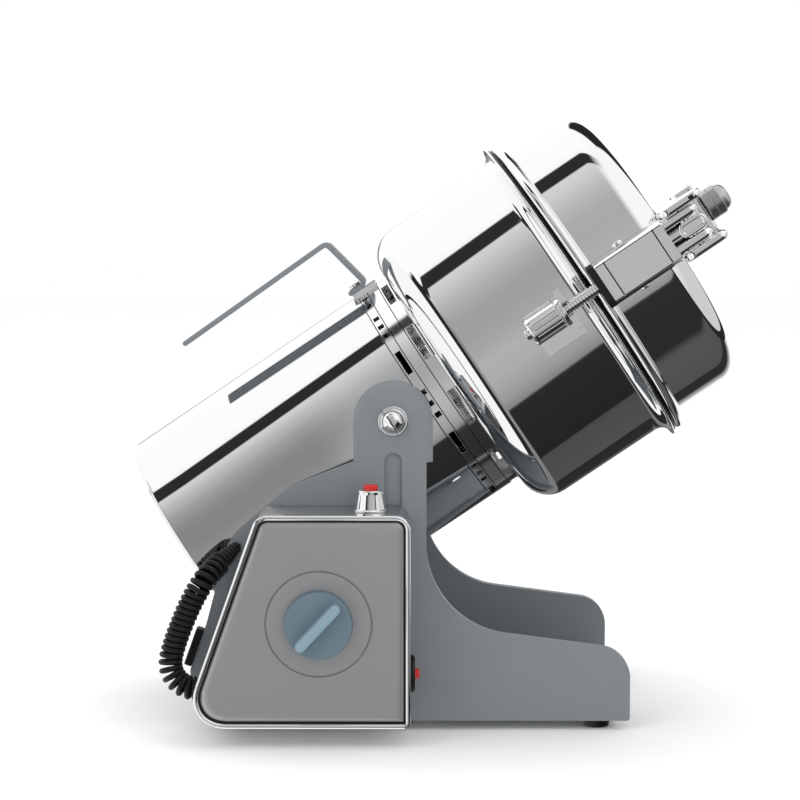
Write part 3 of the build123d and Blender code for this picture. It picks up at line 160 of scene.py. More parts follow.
class LatchSizes(bpy.types.PropertyGroup):
    """The clamp on the near side of the lid."""

    rod_out: length("Rod place", "Draw rod's axis from the barrel's plane", 119.5)
    rod_radius: length("Rod radius", "Crest of the thread", 4)
    thread_pitch: length("Thread pitch", "One turn of the thread", 2)
    thread_depth: length("Thread depth", "Crest to root", 0.75)
    thread_start: length("Thread start", "Lower end of the rod", 98.2)
    thread_end: length("Thread end", "Upper end of the thread, inside the block", 160)
    eye_start: length("Eye start", "Where the plain rod takes over inside the block", 160)
    eye_length: length("Eye length", "Oval eye at the rod's upper end", 19)
    eye_width: length("Eye width", "Across the oval eye", 10)
    eye_depth: length("Eye depth", "Through the oval eye", 12)
    eye_rim: length("Eye rim", "Rounding round the eye, and its flat rim", 1.15)
    pin_station: length("Lever pin", "Station of the lever's pin", 219)
    pin_radius: length("Lever pin radius", "Lever's pin", 3)
    yoke_end: length("Yoke end", "Station of the yoke's round end", 228)
    yoke_depth: length("Yoke depth", "Through the yoke's cheeks", 13)
    yoke_half: length("Yoke half", "From the middle to the yoke's outer side", 12)
    yoke_gap: length("Yoke gap", "Between the yoke's cheeks", 11)
    lever_half: length("Lever half", "From the middle to the lever's outer side", 17.8)
    lever_arm: length("Lever arm", "Thickness of each arm", 5.5)
    lever_hub: length("Lever hub", "Radius of the arms about the pin", 7.5)
    lever_reach: length("Lever reach", "How far the arms go on beyond the pin", 15.5)
    lever_bar: length("Lever bar", "Crossbar that carries the knob", 6.5)
    knob_radius: length("Knob radius", "Lever's round knob", 10)
    knob_station: length("Knob seat", "Station of the knob's seat on the lever's bar", 238)
    knob_out: length("Knob place", "Knob's axis from the barrel's plane", 63)
    knob_height: length("Knob height", "Cylinder of the knob", 10.5)
    knob_dome: length("Knob dome", "Rise of the knob's dome", 6)
    block_start: length("Block, start", "Station of the block's lower end", 155)
    block_end: length("Block, end", "Station of the block's upper end", 203)
    block_face: length("Block face", "From the barrel's plane to the block's outer face", 128)
    block_width: length("Block width", "Across the block", 29.5)
    block_bevel: length("Block bevel", "Sloped sides of the block's face", 5)
    groove_inset: length("Groove inset", "From the block's ends to its cross grooves", 6.5)
    # width of the black strips of painted shade along the block's seam and grooves
    seam: length("Seam", "Width of the dark seams", 0.55)
    cheek_rounding: length("Cheek rounding", "Edges of the yoke's cheeks and the lever's arms", 2.9)


class StandSizes(bpy.types.PropertyGroup):
    """Feet and pivots."""

    foot_radius: length("Foot radius", "Rubber foot at its top", 9.5)
    foot_height: length("Foot height", "Rubber foot below the plates", 6)
    foot_front: length("Front feet", "Fore of the swing axis", 129.5)
    foot_rear: length("Rear feet", "Fore of the swing axis", -94)
    foot_side: length("Feet apart", "From the middle to each foot", 77)
    plate_face: length("Plate face", "From the middle to the plates' outer faces", 91)
    washer_radius: length("Washer radius", "Pivot washer", 9.5)
    washer_height: length("Washer height", "Pivot washer", 1.5)
    bolt_radius: length("Bolt radius", "Pivot bolt", 5)
    nut_radius: length("Cap nut radius", "Pivot cap nut", 7.8)
    nut_height: length("Cap nut height", "Pivot cap nut with its dome", 9.1)


class BoxSizes(bpy.types.PropertyGroup):
    """The control box: fore and aft from the swing axis, heights from the floor."""

    front: length("Front wall", "Forward wall", 11)
    top: length("Roof", "Top of the box", 144.5)
    bottom: length("Underside", "Bottom of the box", 13)
    rear_top: length("Rear, top", "Rear wall at the roof", -82.7)
    rear_bottom: length("Rear, bottom", "Rear wall at the underside", -129.8)
    corner: length("Corner", "Rounding of the upper corners", 9)
    rear_corner: length("Rear corner", "Rounding of the low rear corner", 20)
    front_corner: length("Front corner", "Rounding of the low front corner", 4)
    face: length("Face", "From the middle to the bezel's back", 134)
    bezel_depth: length("Bezel depth", "Bright frame, back to front", 8)
    bezel_width: length("Bezel width", "Bright frame, across", 4.2)
    rim_width: length("Rim width", "Half-round outer rim of the frame", 3.1)
    rim_edge: length("Rim edge", "Height of the rim's rounding", 1.6)
    seam_drop: length("Seam drop", "Dark seam below the rim's top", 3.0)
    panel_top: length("Panel top", "From the bezel's back to the panel's face", 6.8)
    panel_depth: length("Panel depth", "Panel, face to back", 2.5)
    dial_fore: length("Dial, fore", "Dial's middle, fore of the swing axis", -45)
    dial_height: length("Dial, height", "Dial's middle above the floor", 78)
    dial_radius: length("Dial radius", "Round groove about the knob", 33)
    inset: length("Inset", "Box walls within the frame's outline", 0.8)
    start_fore: length("Start switch", "Fore of the swing axis", -13.6)
    start_out: length("Start switch, out", "From the middle of the mill", 117)
    collar_base: length("Start collar, base", "Radius of the collar's foot", 10.5)
    collar_top: length("Start collar, top", "Radius of the collar's top", 7.9)
    collar_height: length("Start collar, height", "Above the roof", 13.5)
    button_radius: length("Start button", "Radius of the red button", 4.5)
    button_proud: length("Start button, proud", "Above its collar", 3.2)
    reset_height: length("Reset switch", "Above the floor", 42)
    reset_out: length("Reset switch, out", "From the middle of the mill", 116)
    reset_radius: length("Reset collar", "Radius of the ribbed collar", 11.5)
    reset_depth: length("Reset collar, depth", "Ahead of the front wall", 3.6)
    reset_button: length("Reset button", "Radius of the red button", 3.3)
    reset_proud: length("Reset button, proud", "Ahead of its collar", 2.8)


class CordSizes(bpy.types.PropertyGroup):
    """The curly cord behind the control box."""

    wire: length("Wire", "Diameter of the cord's wire", 3.5)
    coil: length("Coil", "Mean radius of the turns", 6.0)
    pitch: length("Pitch", "Least distance from turn to turn", 3.6)
    wire_length: length("Wire length", "The cord pulled straight", 980)
    turn_points: bpy.props.IntProperty(
        name="Points a turn", description="Control points in each turn of the coil", default=13, min=12, max=24
    )


class Finishes(bpy.types.PropertyGroup):
    """Colours of the mill's materials."""

    polished: colour("Polished steel", "Barrel, bowl and lid", 0.86, 0.865, 0.87)
    satin: colour("Satin steel", "Control box", 0.52, 0.53, 0.54)
    ring: colour("Turned aluminium", "Rings at the housing's front", 0.93, 0.935, 0.94)
    zinc: colour("Bright zinc", "Latch, lever and screws", 0.9, 0.905, 0.91)
    paint: colour("Enamel", "Stand and handle", 0.175, 0.192, 0.204)
    panel: colour("Panel steel", "Front of the control box", 0.42, 0.42, 0.428)
    knob: colour("Knob plastic", "Timer knob", 0.125, 0.185, 0.225)
    black: colour("Black plastic", "Collars and glands", 0.008, 0.008, 0.0085)
    rubber: colour("Black rubber", "Feet, cord and seals", 0.006, 0.006, 0.0065)
    red: colour("Red plastic", "Buttons", 0.5, 0.015, 0.012)
    lamination: colour("Lamination", "Motor cores", 0.2, 0.2, 0.21)
    copper: colour("Copper", "Windings", 0.72, 0.34, 0.16)
    blade: colour("Ground steel", "Blades and shaft", 0.66, 0.67, 0.68)


class MillSettings(bpy.types.PropertyGroup):
    """All of the mill's settings."""

    barrel: bpy.props.PointerProperty(type=BarrelSizes)
    latch: bpy.props.PointerProperty(type=LatchSizes)
    stand: bpy.props.PointerProperty(type=StandSizes)
    box: bpy.props.PointerProperty(type=BoxSizes)
    cord: bpy.props.PointerProperty(type=CordSizes)
    finishes: bpy.props.PointerProperty(type=Finishes)


# ------------------------------------------------------------------ shader maths


class Value:
    """A number in a shader; arithmetic on it adds Math nodes."""

    def __init__(self, shader, socket):
        self.shader, self.socket = shader, socket

    def maths(self, operation, *terms):
        node = self.shader.node("ShaderNodeMath", {"operation": operation}, dict(enumerate(terms)))
        return Value(self.shader, node.outputs[0])

    def __add__(self, other):
        return self.maths("ADD", self, other)

    __radd__ = __add__

    def __sub__(self, other):
        return self.maths("SUBTRACT", self, other)

    def __rsub__(self, other):
        return self.maths("SUBTRACT", other, self)

    def __mul__(self, other):
        return self.maths("MULTIPLY", self, other)

    def __truediv__(self, other):
        return self.maths("DIVIDE", self, other)

    def __pow__(self, other):
        return self.maths("POWER", self, other)

    def __gt__(self, other):
        return self.maths("GREATER_THAN", self, other)

    def __lt__(self, other):
        return self.maths("LESS_THAN", self, other)


class Shader:
    """A node tree, and the one way to add a node to it."""

    def __init__(self, tree):
        self.tree = tree
        tree.nodes.clear()

    def node(self, kind, settings=None, inputs=None):
        """A node of a kind, with its settings made before its sockets are filled or linked."""
        node = self.tree.nodes.new(kind)
        for name, setting in (settings or {}).items():
            if name == "stops":
                ramp = node.color_ramp.elements
                while len(ramp) < len(setting):
                    ramp.new(1)
                for element, (place, tone) in zip(ramp, setting):
                    element.position = place
                    element.color = (tone, tone, tone, 1)
            else:
                setattr(node, name, setting)
        for name, given in (inputs or {}).items():
            given = given.socket if isinstance(given, Value) else given
            if isinstance(given, bpy.types.NodeSocket):
                self.tree.links.new(given, node.inputs[name])
            else:
                node.inputs[name].default_value = given
        return node

    def value(self, node, output=0):
        """A node's output as a number."""
        return Value(self, node.outputs[output])

    def local(self, place=None):
        """Object coordinates, on the axes of one of the mill's matrices."""
        vector = self.node("ShaderNodeTexCoord").outputs["Object"]
        if place is None:
            return vector
        turn, origin = place.to_euler(), place.to_translation()
        mapping = self.node(
            "ShaderNodeMapping", {"vector_type": "TEXTURE"}, {"Vector": vector, "Location": origin, "Rotation": turn}
        )
        return mapping.outputs[0]

    def stretched(self, vector, x, y, z):
        """The same coordinates, scaled along each axis."""
        node = self.node("ShaderNodeVectorMath", {"operation": "MULTIPLY"}, {0: vector, 1: (x, y, z)})
        return node.outputs[0]

    def axes(self, vector):
        """The three coordinates as numbers."""
        parts = self.node("ShaderNodeSeparateXYZ", None, {0: vector})
        return [self.value(parts, i) for i in range(3)]

    def vector(self, x, y, z=0.0):
        """A vector from three numbers."""
        return self.node("ShaderNodeCombineXYZ", None, {0: x, 1: y, 2: z}).outputs[0]

    def noise(self, vector, scale, detail=2.0, roughness=0.5):
        """Soft noise from 0 to 1."""
        inputs = {"Vector": vector, "Scale": scale, "Detail": detail, "Roughness": roughness}
        return self.value(self.node("ShaderNodeTexNoise", None, inputs))

    def clipped(self, number, low, high):
        """How far a number has come from low to high, from 0 to 1."""
        node = self.node("ShaderNodeMapRange", {"clamp": True}, {0: number, 1: low, 2: high})
        return self.value(node)

    def blend(self, factor, first, second):
        """One colour over another."""
        node = self.node("ShaderNodeMix", {"data_type": "RGBA"}, {0: factor, 6: first, 7: second})
        return node.outputs[2]

    def shaded(self, factor, tint, first, second):
        """One colour at two strengths, one over the other."""
        return self.blend(factor, toned(tint, first), toned(tint, second))

    def bump(self, height, depth):
        """A normal from a height of 0 to 1, depth metres deep."""
        return self.node("ShaderNodeBump", None, {"Height": height, "Distance": depth}).outputs[0]

    def surface(self, inputs):
        """The one surface of a material's tree."""
        made = self.node("ShaderNodeBsdfPrincipled", None, inputs)
        self.node("ShaderNodeOutputMaterial", None, {"Surface": made.outputs[0]})


def toned(colours, share):
    """A colour made lighter or darker, with its alpha."""
    return tuple(min(1.0, part * share) for part in colours) + (1.0,)


# ------------------------------------------------------------------ finishes


def turning_marks(shader, place, scale, detail=4.0, roughness=0.7):
    """Hairlines round a turned piece's own axis."""
    x, y, z = shader.axes(shader.local(place))
    radius = (x * x + y * y) ** 0.5
    return shader.noise(shader.vector(radius * scale, z * scale), 1.0, detail, roughness)


def polished_steel(shader, colours):
    """Mirror-polished sheet: faint wiping haze, and hairlines too fine to see one by one."""
    haze = shader.noise(shader.local(BARREL), 16.0, 3.0, 0.55)
    marks = turning_marks(shader, BARREL, 900.0)
    return {
        "Base Color": shader.shaded(haze, colours.polished, 1.0, 0.97),
        "Metallic": 1.0,
        "Roughness": 0.012 + haze * 0.012 + marks * 0.01,
    }


def satin_steel(shader, colours):
    """Sheet brushed from front to back."""
    grain = shader.noise(shader.stretched(shader.local(), 14.0, 900.0, 900.0), 1.0, 3.0, 0.6)
    haze = shader.noise(shader.local(), 20.0, 2.0)
    return {
        "Base Color": shader.shaded(grain, colours.satin, 0.92, 1.05),
        "Metallic": 1.0,
        "Roughness": 0.24 + grain * 0.12 + haze * 0.06,
        "Normal": shader.bump(grain, 0.00001),
    }


def bright_ring(shader, colours):
    """Aluminium, fine-turned round the barrel's axis."""
    marks = turning_marks(shader, BARREL, 2400.0)
    haze = shader.noise(shader.local(), 40.0, 2.0)
    return {
        "Base Color": shader.shaded(marks, colours.ring, 0.94, 1.03),
        "Metallic": 1.0,
        "Roughness": 0.05 + marks * 0.06 + haze * 0.03,
        "Normal": shader.bump(marks, 0.000006),
    }


def zinc_steel(shader, colours):
    """Bright zinc over machined steel: soft mottling and a few handling marks."""
    mottle = shader.noise(shader.local(), 260.0, 4.0, 0.6)
    wiped = shader.noise(shader.stretched(shader.local(LATCH), 500.0, 500.0, 40.0), 1.0, 2.0)
    return {
        "Base Color": shader.shaded(mottle, colours.zinc, 0.93, 1.04),
        "Metallic": 1.0,
        "Roughness": 0.05 + mottle * 0.05 + wiped * 0.03,
        "Normal": shader.bump(wiped, 0.000004),
    }


def stand_paint(shader, colours):
    """Satin enamel: orange-peel grain, slight unevenness of tone."""
    peel = shader.noise(shader.local(), 1300.0, 2.0, 0.5)
    cloud = shader.noise(shader.local(), 14.0, 4.0, 0.6)
    rubbed = shader.clipped(shader.noise(shader.local(), 60.0, 5.0, 0.65), 0.6, 0.75)
    base = shader.shaded(cloud, colours.paint, 0.93, 1.07)
    return {
        "Base Color": shader.blend(rubbed * 0.25, base, toned(colours.paint, 1.25)),
        "Metallic": 0.0,
        "Roughness": 0.36 + cloud * 0.1 + peel * 0.06,
        "Normal": shader.bump(peel, 0.000025),
    }


def panel_steel(shader, colours):
    """Dark brushed sheet with a lengthwise grain."""
    grain = shader.noise(shader.stretched(shader.local(), 10.0, 10.0, 1500.0), 1.0, 4.0, 0.7)
    cloud = shader.noise(shader.local(), 12.0, 2.0)
    return {
        "Base Color": shader.shaded(grain, colours.panel, 0.96, 1.05),
        "Metallic": 0.75,
        "Roughness": 0.3 + grain * 0.1 + cloud * 0.06,
        "Normal": shader.bump(grain, 0.000012),
    }


def moulded(shader, tint, roughness, grain_depth, scale=2200.0, sheen=0.5):
    """Moulded plastic or rubber with a fine spark-eroded grain."""
    grain = shader.noise(shader.local(), scale, 2.0, 0.5)
    cloud = shader.noise(shader.local(), 45.0, 3.0)
    return {
        "Base Color": shader.shaded(cloud, tint, 0.9, 1.12),
        "Metallic": 0.0,
        "Roughness": roughness + cloud * 0.08 + grain * 0.06,
        "Specular IOR Level": sheen,
        "Normal": shader.bump(grain, grain_depth),
    }


def knob_plastic(shader, colours):
    """Satin blue-grey plastic, with a painted highlight on the raised bar and painted shade on the disc behind it."""
    out = shader.axes(shader.local(FRONT))[2]
    disc, bar = 0.149, 0.154                     # how far out the disc ends and the bar is wholly raised
    cloud = shader.noise(shader.local(), 45.0, 3.0)
    made = moulded(shader, colours.knob, 0.36, 0.00001)
    # painted highlight and painted shade: the raised bar is coloured paler and the disc behind it darker
    made["Base Color"] = shader.blend(
        shader.clipped(out, disc, bar),
        shader.shaded(cloud, colours.knob, 0.78, 0.92),
        shader.shaded(cloud, colours.knob, 1.4, 1.65),
    )
    return made


def black_plastic(shader, colours):
    """Black plastic with a fine grain."""
    return moulded(shader, colours.black, 0.34, 0.00001, sheen=0.35)


def red_plastic(shader, colours):
    """Glossy red plastic."""
    return moulded(shader, colours.red, 0.16, 0.000003)


def black_rubber(shader, colours):
    """Matte black rubber, a little dusty in places."""
    return moulded(shader, colours.rubber, 0.34, 0.00002, 1500.0, 0.3)


def lamination(shader, colours):
    """Stacked sheet steel, half a millimetre each."""
    sheet = shader.axes(shader.local(BARREL))[2] * 2000.0
    seam = shader.clipped(sheet.maths("FRACT", sheet), 0.0, 0.25)
    rust = shader.noise(shader.local(), 120.0, 4.0)
    return {
        "Base Color": shader.shaded(rust, colours.lamination, 0.8, 1.15),
        "Metallic": 0.85,
        "Roughness": 0.42 + rust * 0.15,
        "Normal": shader.bump(seam, 0.000012),
    }


def copper(shader, colours):
    """Enamelled wire laid round the barrel's axis."""
    strands = turning_marks(shader, BARREL, 1500.0, 1.0, 0.5)
    varnish = shader.noise(shader.local(), 60.0, 3.0)
    return {
        "Base Color": shader.shaded(varnish, colours.copper, 0.75, 1.05),
        "Metallic": 0.9,
        "Roughness": 0.25 + varnish * 0.15,
        "Normal": shader.bump(strands, 0.00002),
    }


def blade_steel(shader, colours):
    """Ground steel, with the wheel's straight scratches."""
    scratches = shader.noise(shader.stretched(shader.local(BARREL), 60.0, 1800.0, 60.0), 1.0, 4.0, 0.7)
    haze = shader.noise(shader.local(), 50.0, 2.0)
    return {
        "Base Color": shader.shaded(scratches, colours.blade, 0.9, 1.06),
        "Metallic": 1.0,
        "Roughness": 0.18 + scratches * 0.14 + haze * 0.05,
        "Normal": shader.bump(scratches, 0.00001),
    }


FINISHES = {
    finish.__name__: finish
    for finish in (
        polished_steel,
        satin_steel,
        bright_ring,
        zinc_steel,
        stand_paint,
        panel_steel,
        knob_plastic,
        black_plastic,
        red_plastic,
        black_rubber,
        lamination,
        copper,
        blade_steel,
    )
}


def finished(slot):
    """The material of a slot, made once."""
    material = bpy.data.materials.get("mill_" + slot)
    if material is None:
        material = bpy.data.materials.new("mill_" + slot)
        material.use_nodes = True
        shader = Shader(material.node_tree)
        shader.surface(FINISHES[slot](shader, bpy.context.scene.mill.finishes))
    return material


# ------------------------------------------------------------------ shapes

ROUNDED = math.radians(40)                       # edges sharper than this are rounded
CREASED = math.radians(38)                       # edges sharper than this are shaded as edges

def outline(corners, segments=8):
    """A flat face from corners given as (x, y, rounding)."""
    bm = bmesh.new()
    places = [Vector((x, y, 0)) for x, y, _ in corners]
    verts = [bm.verts.new(place) for place in places]
    bm.faces.new(verts)
    for i, vert in enumerate(verts):
        before = places[i] - places[i - 1]
        after = places[(i + 1) % len(places)] - places[i]
        if corners[i][2]:
            bmesh.ops.bevel(
                bm,
                geom=[vert],
                offset=corners[i][2] * math.tan(before.angle(after) / 2),
                offset_type="OFFSET",
                segments=segments,
                profile=0.5,
                affect="VERTICES",
                material=-1,
            )
    return bm


def band(inner, outer, low, high, rounding=0.0, foot=None):
    """A rectangle's corners, the outer two rounded; foot is the rounding of the low one, where it differs."""
    foot = rounding if foot is None else foot
    return [(inner, low, 0), (outer, low, foot), (outer, high, rounding), (inner, high, 0)]


def seated(bm, place):
    """A finished shape with its faces turned outwards, set at a place."""
    bmesh.ops.recalc_face_normals(bm, faces=bm.faces[:])
    bmesh.ops.transform(bm, matrix=place, verts=bm.verts[:])
    return bm


def turned(corners, place, steps=192, segments=8):
    """A piece turned on a lathe: a half section of (radius, height, rounding), spun round z and set at a place."""
    bm = outline(corners, segments)
    bmesh.ops.delete(bm, geom=bm.faces[:], context="FACES_ONLY")
    on_axis = [edge for edge in bm.edges if all(abs(vert.co.x) < 1e-7 for vert in edge.verts)]
    bmesh.ops.delete(bm, geom=on_axis, context="EDGES")
    bmesh.ops.rotate(bm, cent=(0, 0, 0), matrix=Matrix.Rotation(math.radians(90), 3, "X"), verts=bm.verts[:])
    bmesh.ops.spin(
        bm,
        geom=bm.verts[:] + bm.edges[:],
        cent=(0, 0, 0),
        axis=(0, 0, 1),
        angle=math.radians(360),
        steps=steps,
        use_merge=True,
    )
    bmesh.ops.remove_doubles(bm, verts=bm.verts[:], dist=1e-7)
    return seated(bm, place)


def prism(bm, depth, place):
    """A flat face given a depth along z and set at a place."""
    raised = bmesh.ops.extrude_face_region(bm, geom=bm.faces[:])
    tops = [part for part in raised["geom"] if isinstance(part, bmesh.types.BMVert)]
    bmesh.ops.translate(bm, vec=(0, 0, depth), verts=tops)
    return seated(bm, place)


def softened(bm, width, segments=2, where=None, clamp=True):
    """Rounds every sharp edge by a width, or those whose middle passes a test; unclamped where arcs allow it."""
    edges = [edge for edge in bm.edges if len(edge.link_faces) == 2 and edge.calc_face_angle() > ROUNDED]
    if where:
        edges = [edge for edge in edges if where((edge.verts[0].co + edge.verts[1].co) / 2)]
    bmesh.ops.bevel(
        bm,
        geom=edges,
        offset=width,
        offset_type="OFFSET",
        segments=segments,
        profile=0.5,
        affect="EDGES",
        clamp_overlap=clamp,
        material=-1,
    )
    return bm


def copied(node):
    """A CAD node's mesh with its doubles merged and its flat faces whole."""
    bm = bmesh.new()
    bm.from_mesh(frame["nodes"][node].data)
    bmesh.ops.remove_doubles(bm, verts=bm.verts[:], dist=2e-6)
    bmesh.ops.dissolve_limit(
        bm, angle_limit=math.radians(0.6), verts=bm.verts[:], edges=bm.edges[:], delimit={"NORMAL"}
    )
    return bm


def cut(bm, point, normal, dist=0.0):
    """Takes away what lies beyond a plane."""
    everything = bm.verts[:] + bm.edges[:] + bm.faces[:]
    bmesh.ops.bisect_plane(bm, geom=everything, dist=dist, plane_co=point, plane_no=normal, clear_outer=True)


def block(bm, place, x, y, z):
    """Adds a box about a place."""
    bmesh.ops.create_cube(bm, size=1, matrix=place @ Matrix.Diagonal((x, y, z, 1)))


def mesh_of(name, bm):
    """A shape as a mesh."""
    mesh = bpy.data.meshes.new(name)
    bm.to_mesh(mesh)
    bm.free()
    return mesh


def joined(*parts):
    """Several shapes as one."""
    whole = bmesh.new()
    for part in parts:
        mesh = mesh_of("part", part)
        whole.from_mesh(mesh)
        bpy.data.meshes.remove(mesh)
    return whole


def added(name, data):
    """A new object in the scene."""
    made = bpy.data.objects.new(name, data)
    bpy.context.scene.collection.objects.link(made)
    return made


def piece(name, bm, node, finish=None):
    """A finished piece that stands for a CAD node."""
    mesh = mesh_of(name, bm)
    mesh.polygons.foreach_set("use_smooth", [True] * len(mesh.polygons))
    mesh.set_sharp_from_angle(angle=CREASED)
    made = added(name, mesh)
    normals = made.modifiers.new("Normals", "WEIGHTED_NORMAL")
    normals.keep_sharp = True
    return dressed(made, node, finish)


def dressed(made, node, finish=None):
    """Gives a new object the body and finish of the CAD node that it stands for, or a finish of its own."""
    slot = finish or slots[node]
    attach(made, body_of(frame["nodes"][node])[0])
    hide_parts(node)
    made.data.materials.append(finished(slot))
    return made


def eased(*rows):
    """Pieces that are CAD nodes with their sharp edges rounded, from (name, node, width in millimetres)."""
    for name, node, width in rows:
        piece(name, softened(copied(node), width * MM), node)


# ------------------------------------------------------------------ stage


def grey(tone):
    """A display tone of 0 to 255 as light."""
    share = tone / 255
    return share / 12.92 if share <= 0.04045 else ((share + 0.055) / 1.055) ** 2.4


CAMERA_LENS, SENSOR = 95.99, 36                  # millimetres
CAMERA_PLACE = (-0.01806, -1.40201, 0.33481)
CAMERA_VIEW = (-0.00417, 0.99562, -0.09341)      # the way it looks
LAMP_AIM = Vector((-0.02, 0, 0.18))
LAMPS = (                                        # name, place, diameter in metres, watts
    ("Key", (-1.1, -1.4, 1.5), 1.0, 4.5),
    ("Front", (0.4, -1.7, 0.25), 1.0, 6.6),
    ("Top", (0.1, 0.3, 1.9), 1.4, 8.0),
)

# What each part of the barrel mirrors: (degrees round the barrel from the near side, display tone of 0 to 255).
STRIPE = ((71.3, 213), (71.6, 42), (83.0, 44), (83.4, 247), (90, 253))
BOWL_TONES = (
    (-180, 92), (-158, 92), (-155, 80), (-151, 43), (-127.6, 41), (-127.2, 79), (-93, 76), (-88.6, 72),
    (-88.2, 36), (-44, 41), (-38, 43), (-37.6, 128), (-31, 150), (-25, 161), (-13, 173), (0, 177), (11, 167),
    (24, 159), (36, 161), (49, 176), (61, 197), *STRIPE, (175, 253), (177, 92),
)
LID_TONES = (
    (-180, 253), (-153, 251), (-147, 165), (-141, 84), (-140.6, 44), (-127.6, 44), (-127.2, 79), (-93, 84),
    (-88.2, 80), (-82, 42), (-38, 45), (-37.6, 138), (-31, 160), (-25, 178), (0, 176), (24, 170), (36, 172),
    (49, 184), (61, 203), *STRIPE, (175, 253), (177, 120),
)
HOUSING_TONES = (
    (-180, 150), (-150, 120), (-110, 120), (-50, 138), (5, 141), (18, 133), (30, 134), (37, 139), (43, 149),
    (49, 158), (55, 174), (61, 186), (67, 204), *STRIPE, (175, 253), (177, 150),
)
BLACK, DIM, WHITE = 38, 205, 248                 # display tones of the cards and lights beyond the barrel's ends


class MILL_OT_stage(bpy.types.Operator):
    """Sets up the camera, a plain pale floor, soft lights and the studio that polished steel mirrors"""

    bl_idname = "mill.stage"
    bl_label = "Stage"

    def execute(self, context):
        scene = context.scene
        scene.view_settings.view_transform = "Standard"
        camera = added("Camera", bpy.data.cameras.new("Camera"))
        camera.data.lens = CAMERA_LENS
        camera.data.sensor_width = SENSOR
        camera.data.clip_start, camera.data.clip_end = 0.05, 50
        camera.location = CAMERA_PLACE
        camera.rotation_euler = Vector(CAMERA_VIEW).to_track_quat("-Z", "Y").to_euler()
        scene.camera = camera

        bm = bmesh.new()
        bmesh.ops.create_circle(bm, cap_ends=True, segments=96, radius=6)
        floor = added("floor", mesh_of("floor", bm))
        floor.visible_glossy = False
        paper = bpy.data.materials.new("paper")
        paper.use_nodes = True
        shader = Shader(paper.node_tree)
        tooth = shader.noise(shader.local(), 90.0, 3.0)
        shader.surface({"Base Color": shader.shaded(tooth, (1, 1, 1), 0.99, 0.998), "Roughness": 0.9})
        floor.data.materials.append(paper)

        for name, place, size, energy in LAMPS:
            lamp = added(name, bpy.data.lights.new(name, "AREA"))
            lamp.data.shape = "DISK"
            lamp.data.size = size
            lamp.data.energy = energy
            lamp.location = place
            lamp.rotation_euler = (LAMP_AIM - Vector(place)).to_track_quat("-Z", "Y").to_euler()
            lamp.visible_glossy = False

        self.studio(scene)
        return {"FINISHED"}

    def studio(self, scene):
        """Pale all round; mirrors see strip lights and black cards that run along the barrel."""
        world = bpy.data.worlds.new("Studio")
        scene.world = world
        world.use_nodes = True
        shader = Shader(world.node_tree)
        direction = shader.node("ShaderNodeTexCoord").outputs["Generated"]
        along, rise, out = (
            shader.value(shader.node("ShaderNodeVectorMath", {"operation": "DOT_PRODUCT"}, {0: direction, 1: axis}), 1)
            for axis in (ALONG, RISE, OUT)
        )
        # The angle round the barrel, turned on where the bowl, the lid and the housing mirror another share of it.
        lean = shader.clipped(along, -0.16, 0.03) * 10.0 + shader.clipped(along, 0.034, 0.044) * 10.5
        turn = rise.maths("ARCTAN2", rise, out) * (180 / math.pi) - lean + 8.4
        turn = turn - shader.clipped(along, -0.19, -0.24) * 8.0
        steel = sum(scene.mill.finishes.polished) / 3
        bowl, lid, housing = (
            shader.node(
                "ShaderNodeValToRGB",
                {"stops": [((angle + 180) / 360, grey(tone) / steel) for angle, tone in tones]},
                {0: (turn + 180.0) / 360.0},
            ).outputs[0]
            for tones in (BOWL_TONES, LID_TONES, HOUSING_TONES)
        )
        seen = shader.blend(shader.clipped(along, -0.1, -0.075), housing, bowl)
        seen = shader.blend(shader.clipped(along, 0.034, 0.044), seen, lid)
        black, dim, white = ((grey(tone) / steel,) * 3 + (1,) for tone in (BLACK, DIM, WHITE))

        right = shader.blend(shader.clipped(turn, -70.0, -10.0), dim, white)       # beyond the lid
        high = shader.clipped(turn, -18.0, -14.0)
        edge = shader.clipped(along, 0.36, 0.66) * high + shader.clipped(along, 0.6, 0.61) * (1.0 - high)
        seen = shader.blend(edge, seen, right)
        seen = shader.blend((along > 0.6) * (along < 0.68) * (turn < -16.0), seen, black)
        arc = shader.clipped(along, 0.3, 0.33) * shader.clipped(along, 0.7, 0.67)
        seen = shader.blend(shader.clipped(turn, 124.0, 127.0) * arc, seen, black)

        left = shader.blend((along < -0.77) * (along > -0.8), white, black)        # behind the housing
        seen = shader.blend(shader.clipped(along, -0.22, -0.23) * shader.clipped(turn, 96.0, 90.0), seen, black)
        seen = shader.blend(shader.clipped(along, -0.4, -0.41), seen, left)

        rays = shader.node("ShaderNodeLightPath")
        soft, studio, backdrop = (
            shader.node("ShaderNodeBackground", None, {0: light, 1: strength}).outputs[0]
            for light, strength in (((0.985, 0.99, 1.0, 1), 1.02), (seen, 1.0), ((1, 1, 1, 1), 1.0))
        )
        lit = shader.node("ShaderNodeMixShader", None, {0: rays.outputs["Is Glossy Ray"], 1: soft, 2: studio})
        shown = shader.node(
            "ShaderNodeMixShader", None, {0: rays.outputs["Is Camera Ray"], 1: lit.outputs[0], 2: backdrop}
        )
        shader.node("ShaderNodeOutputWorld", None, {"Surface": shown.outputs[0]})


# ------------------------------------------------------------------ cord

ROUTE = (
    (-0.1428, -0.10025, 0.0322),
    (-0.1545, -0.10025, 0.0322),
    (-0.1634, -0.10025, 0.0385),
    (-0.1670, -0.10025, 0.0489),
    (-0.1610, -0.10075, 0.0680),
    (-0.1518, -0.10075, 0.0895),
    (-0.1426, -0.09975, 0.1042),
    (-0.13419, -0.08601, 0.11110),
)
TAIL_TIP = (-0.1270, -0.07425, 0.1170)


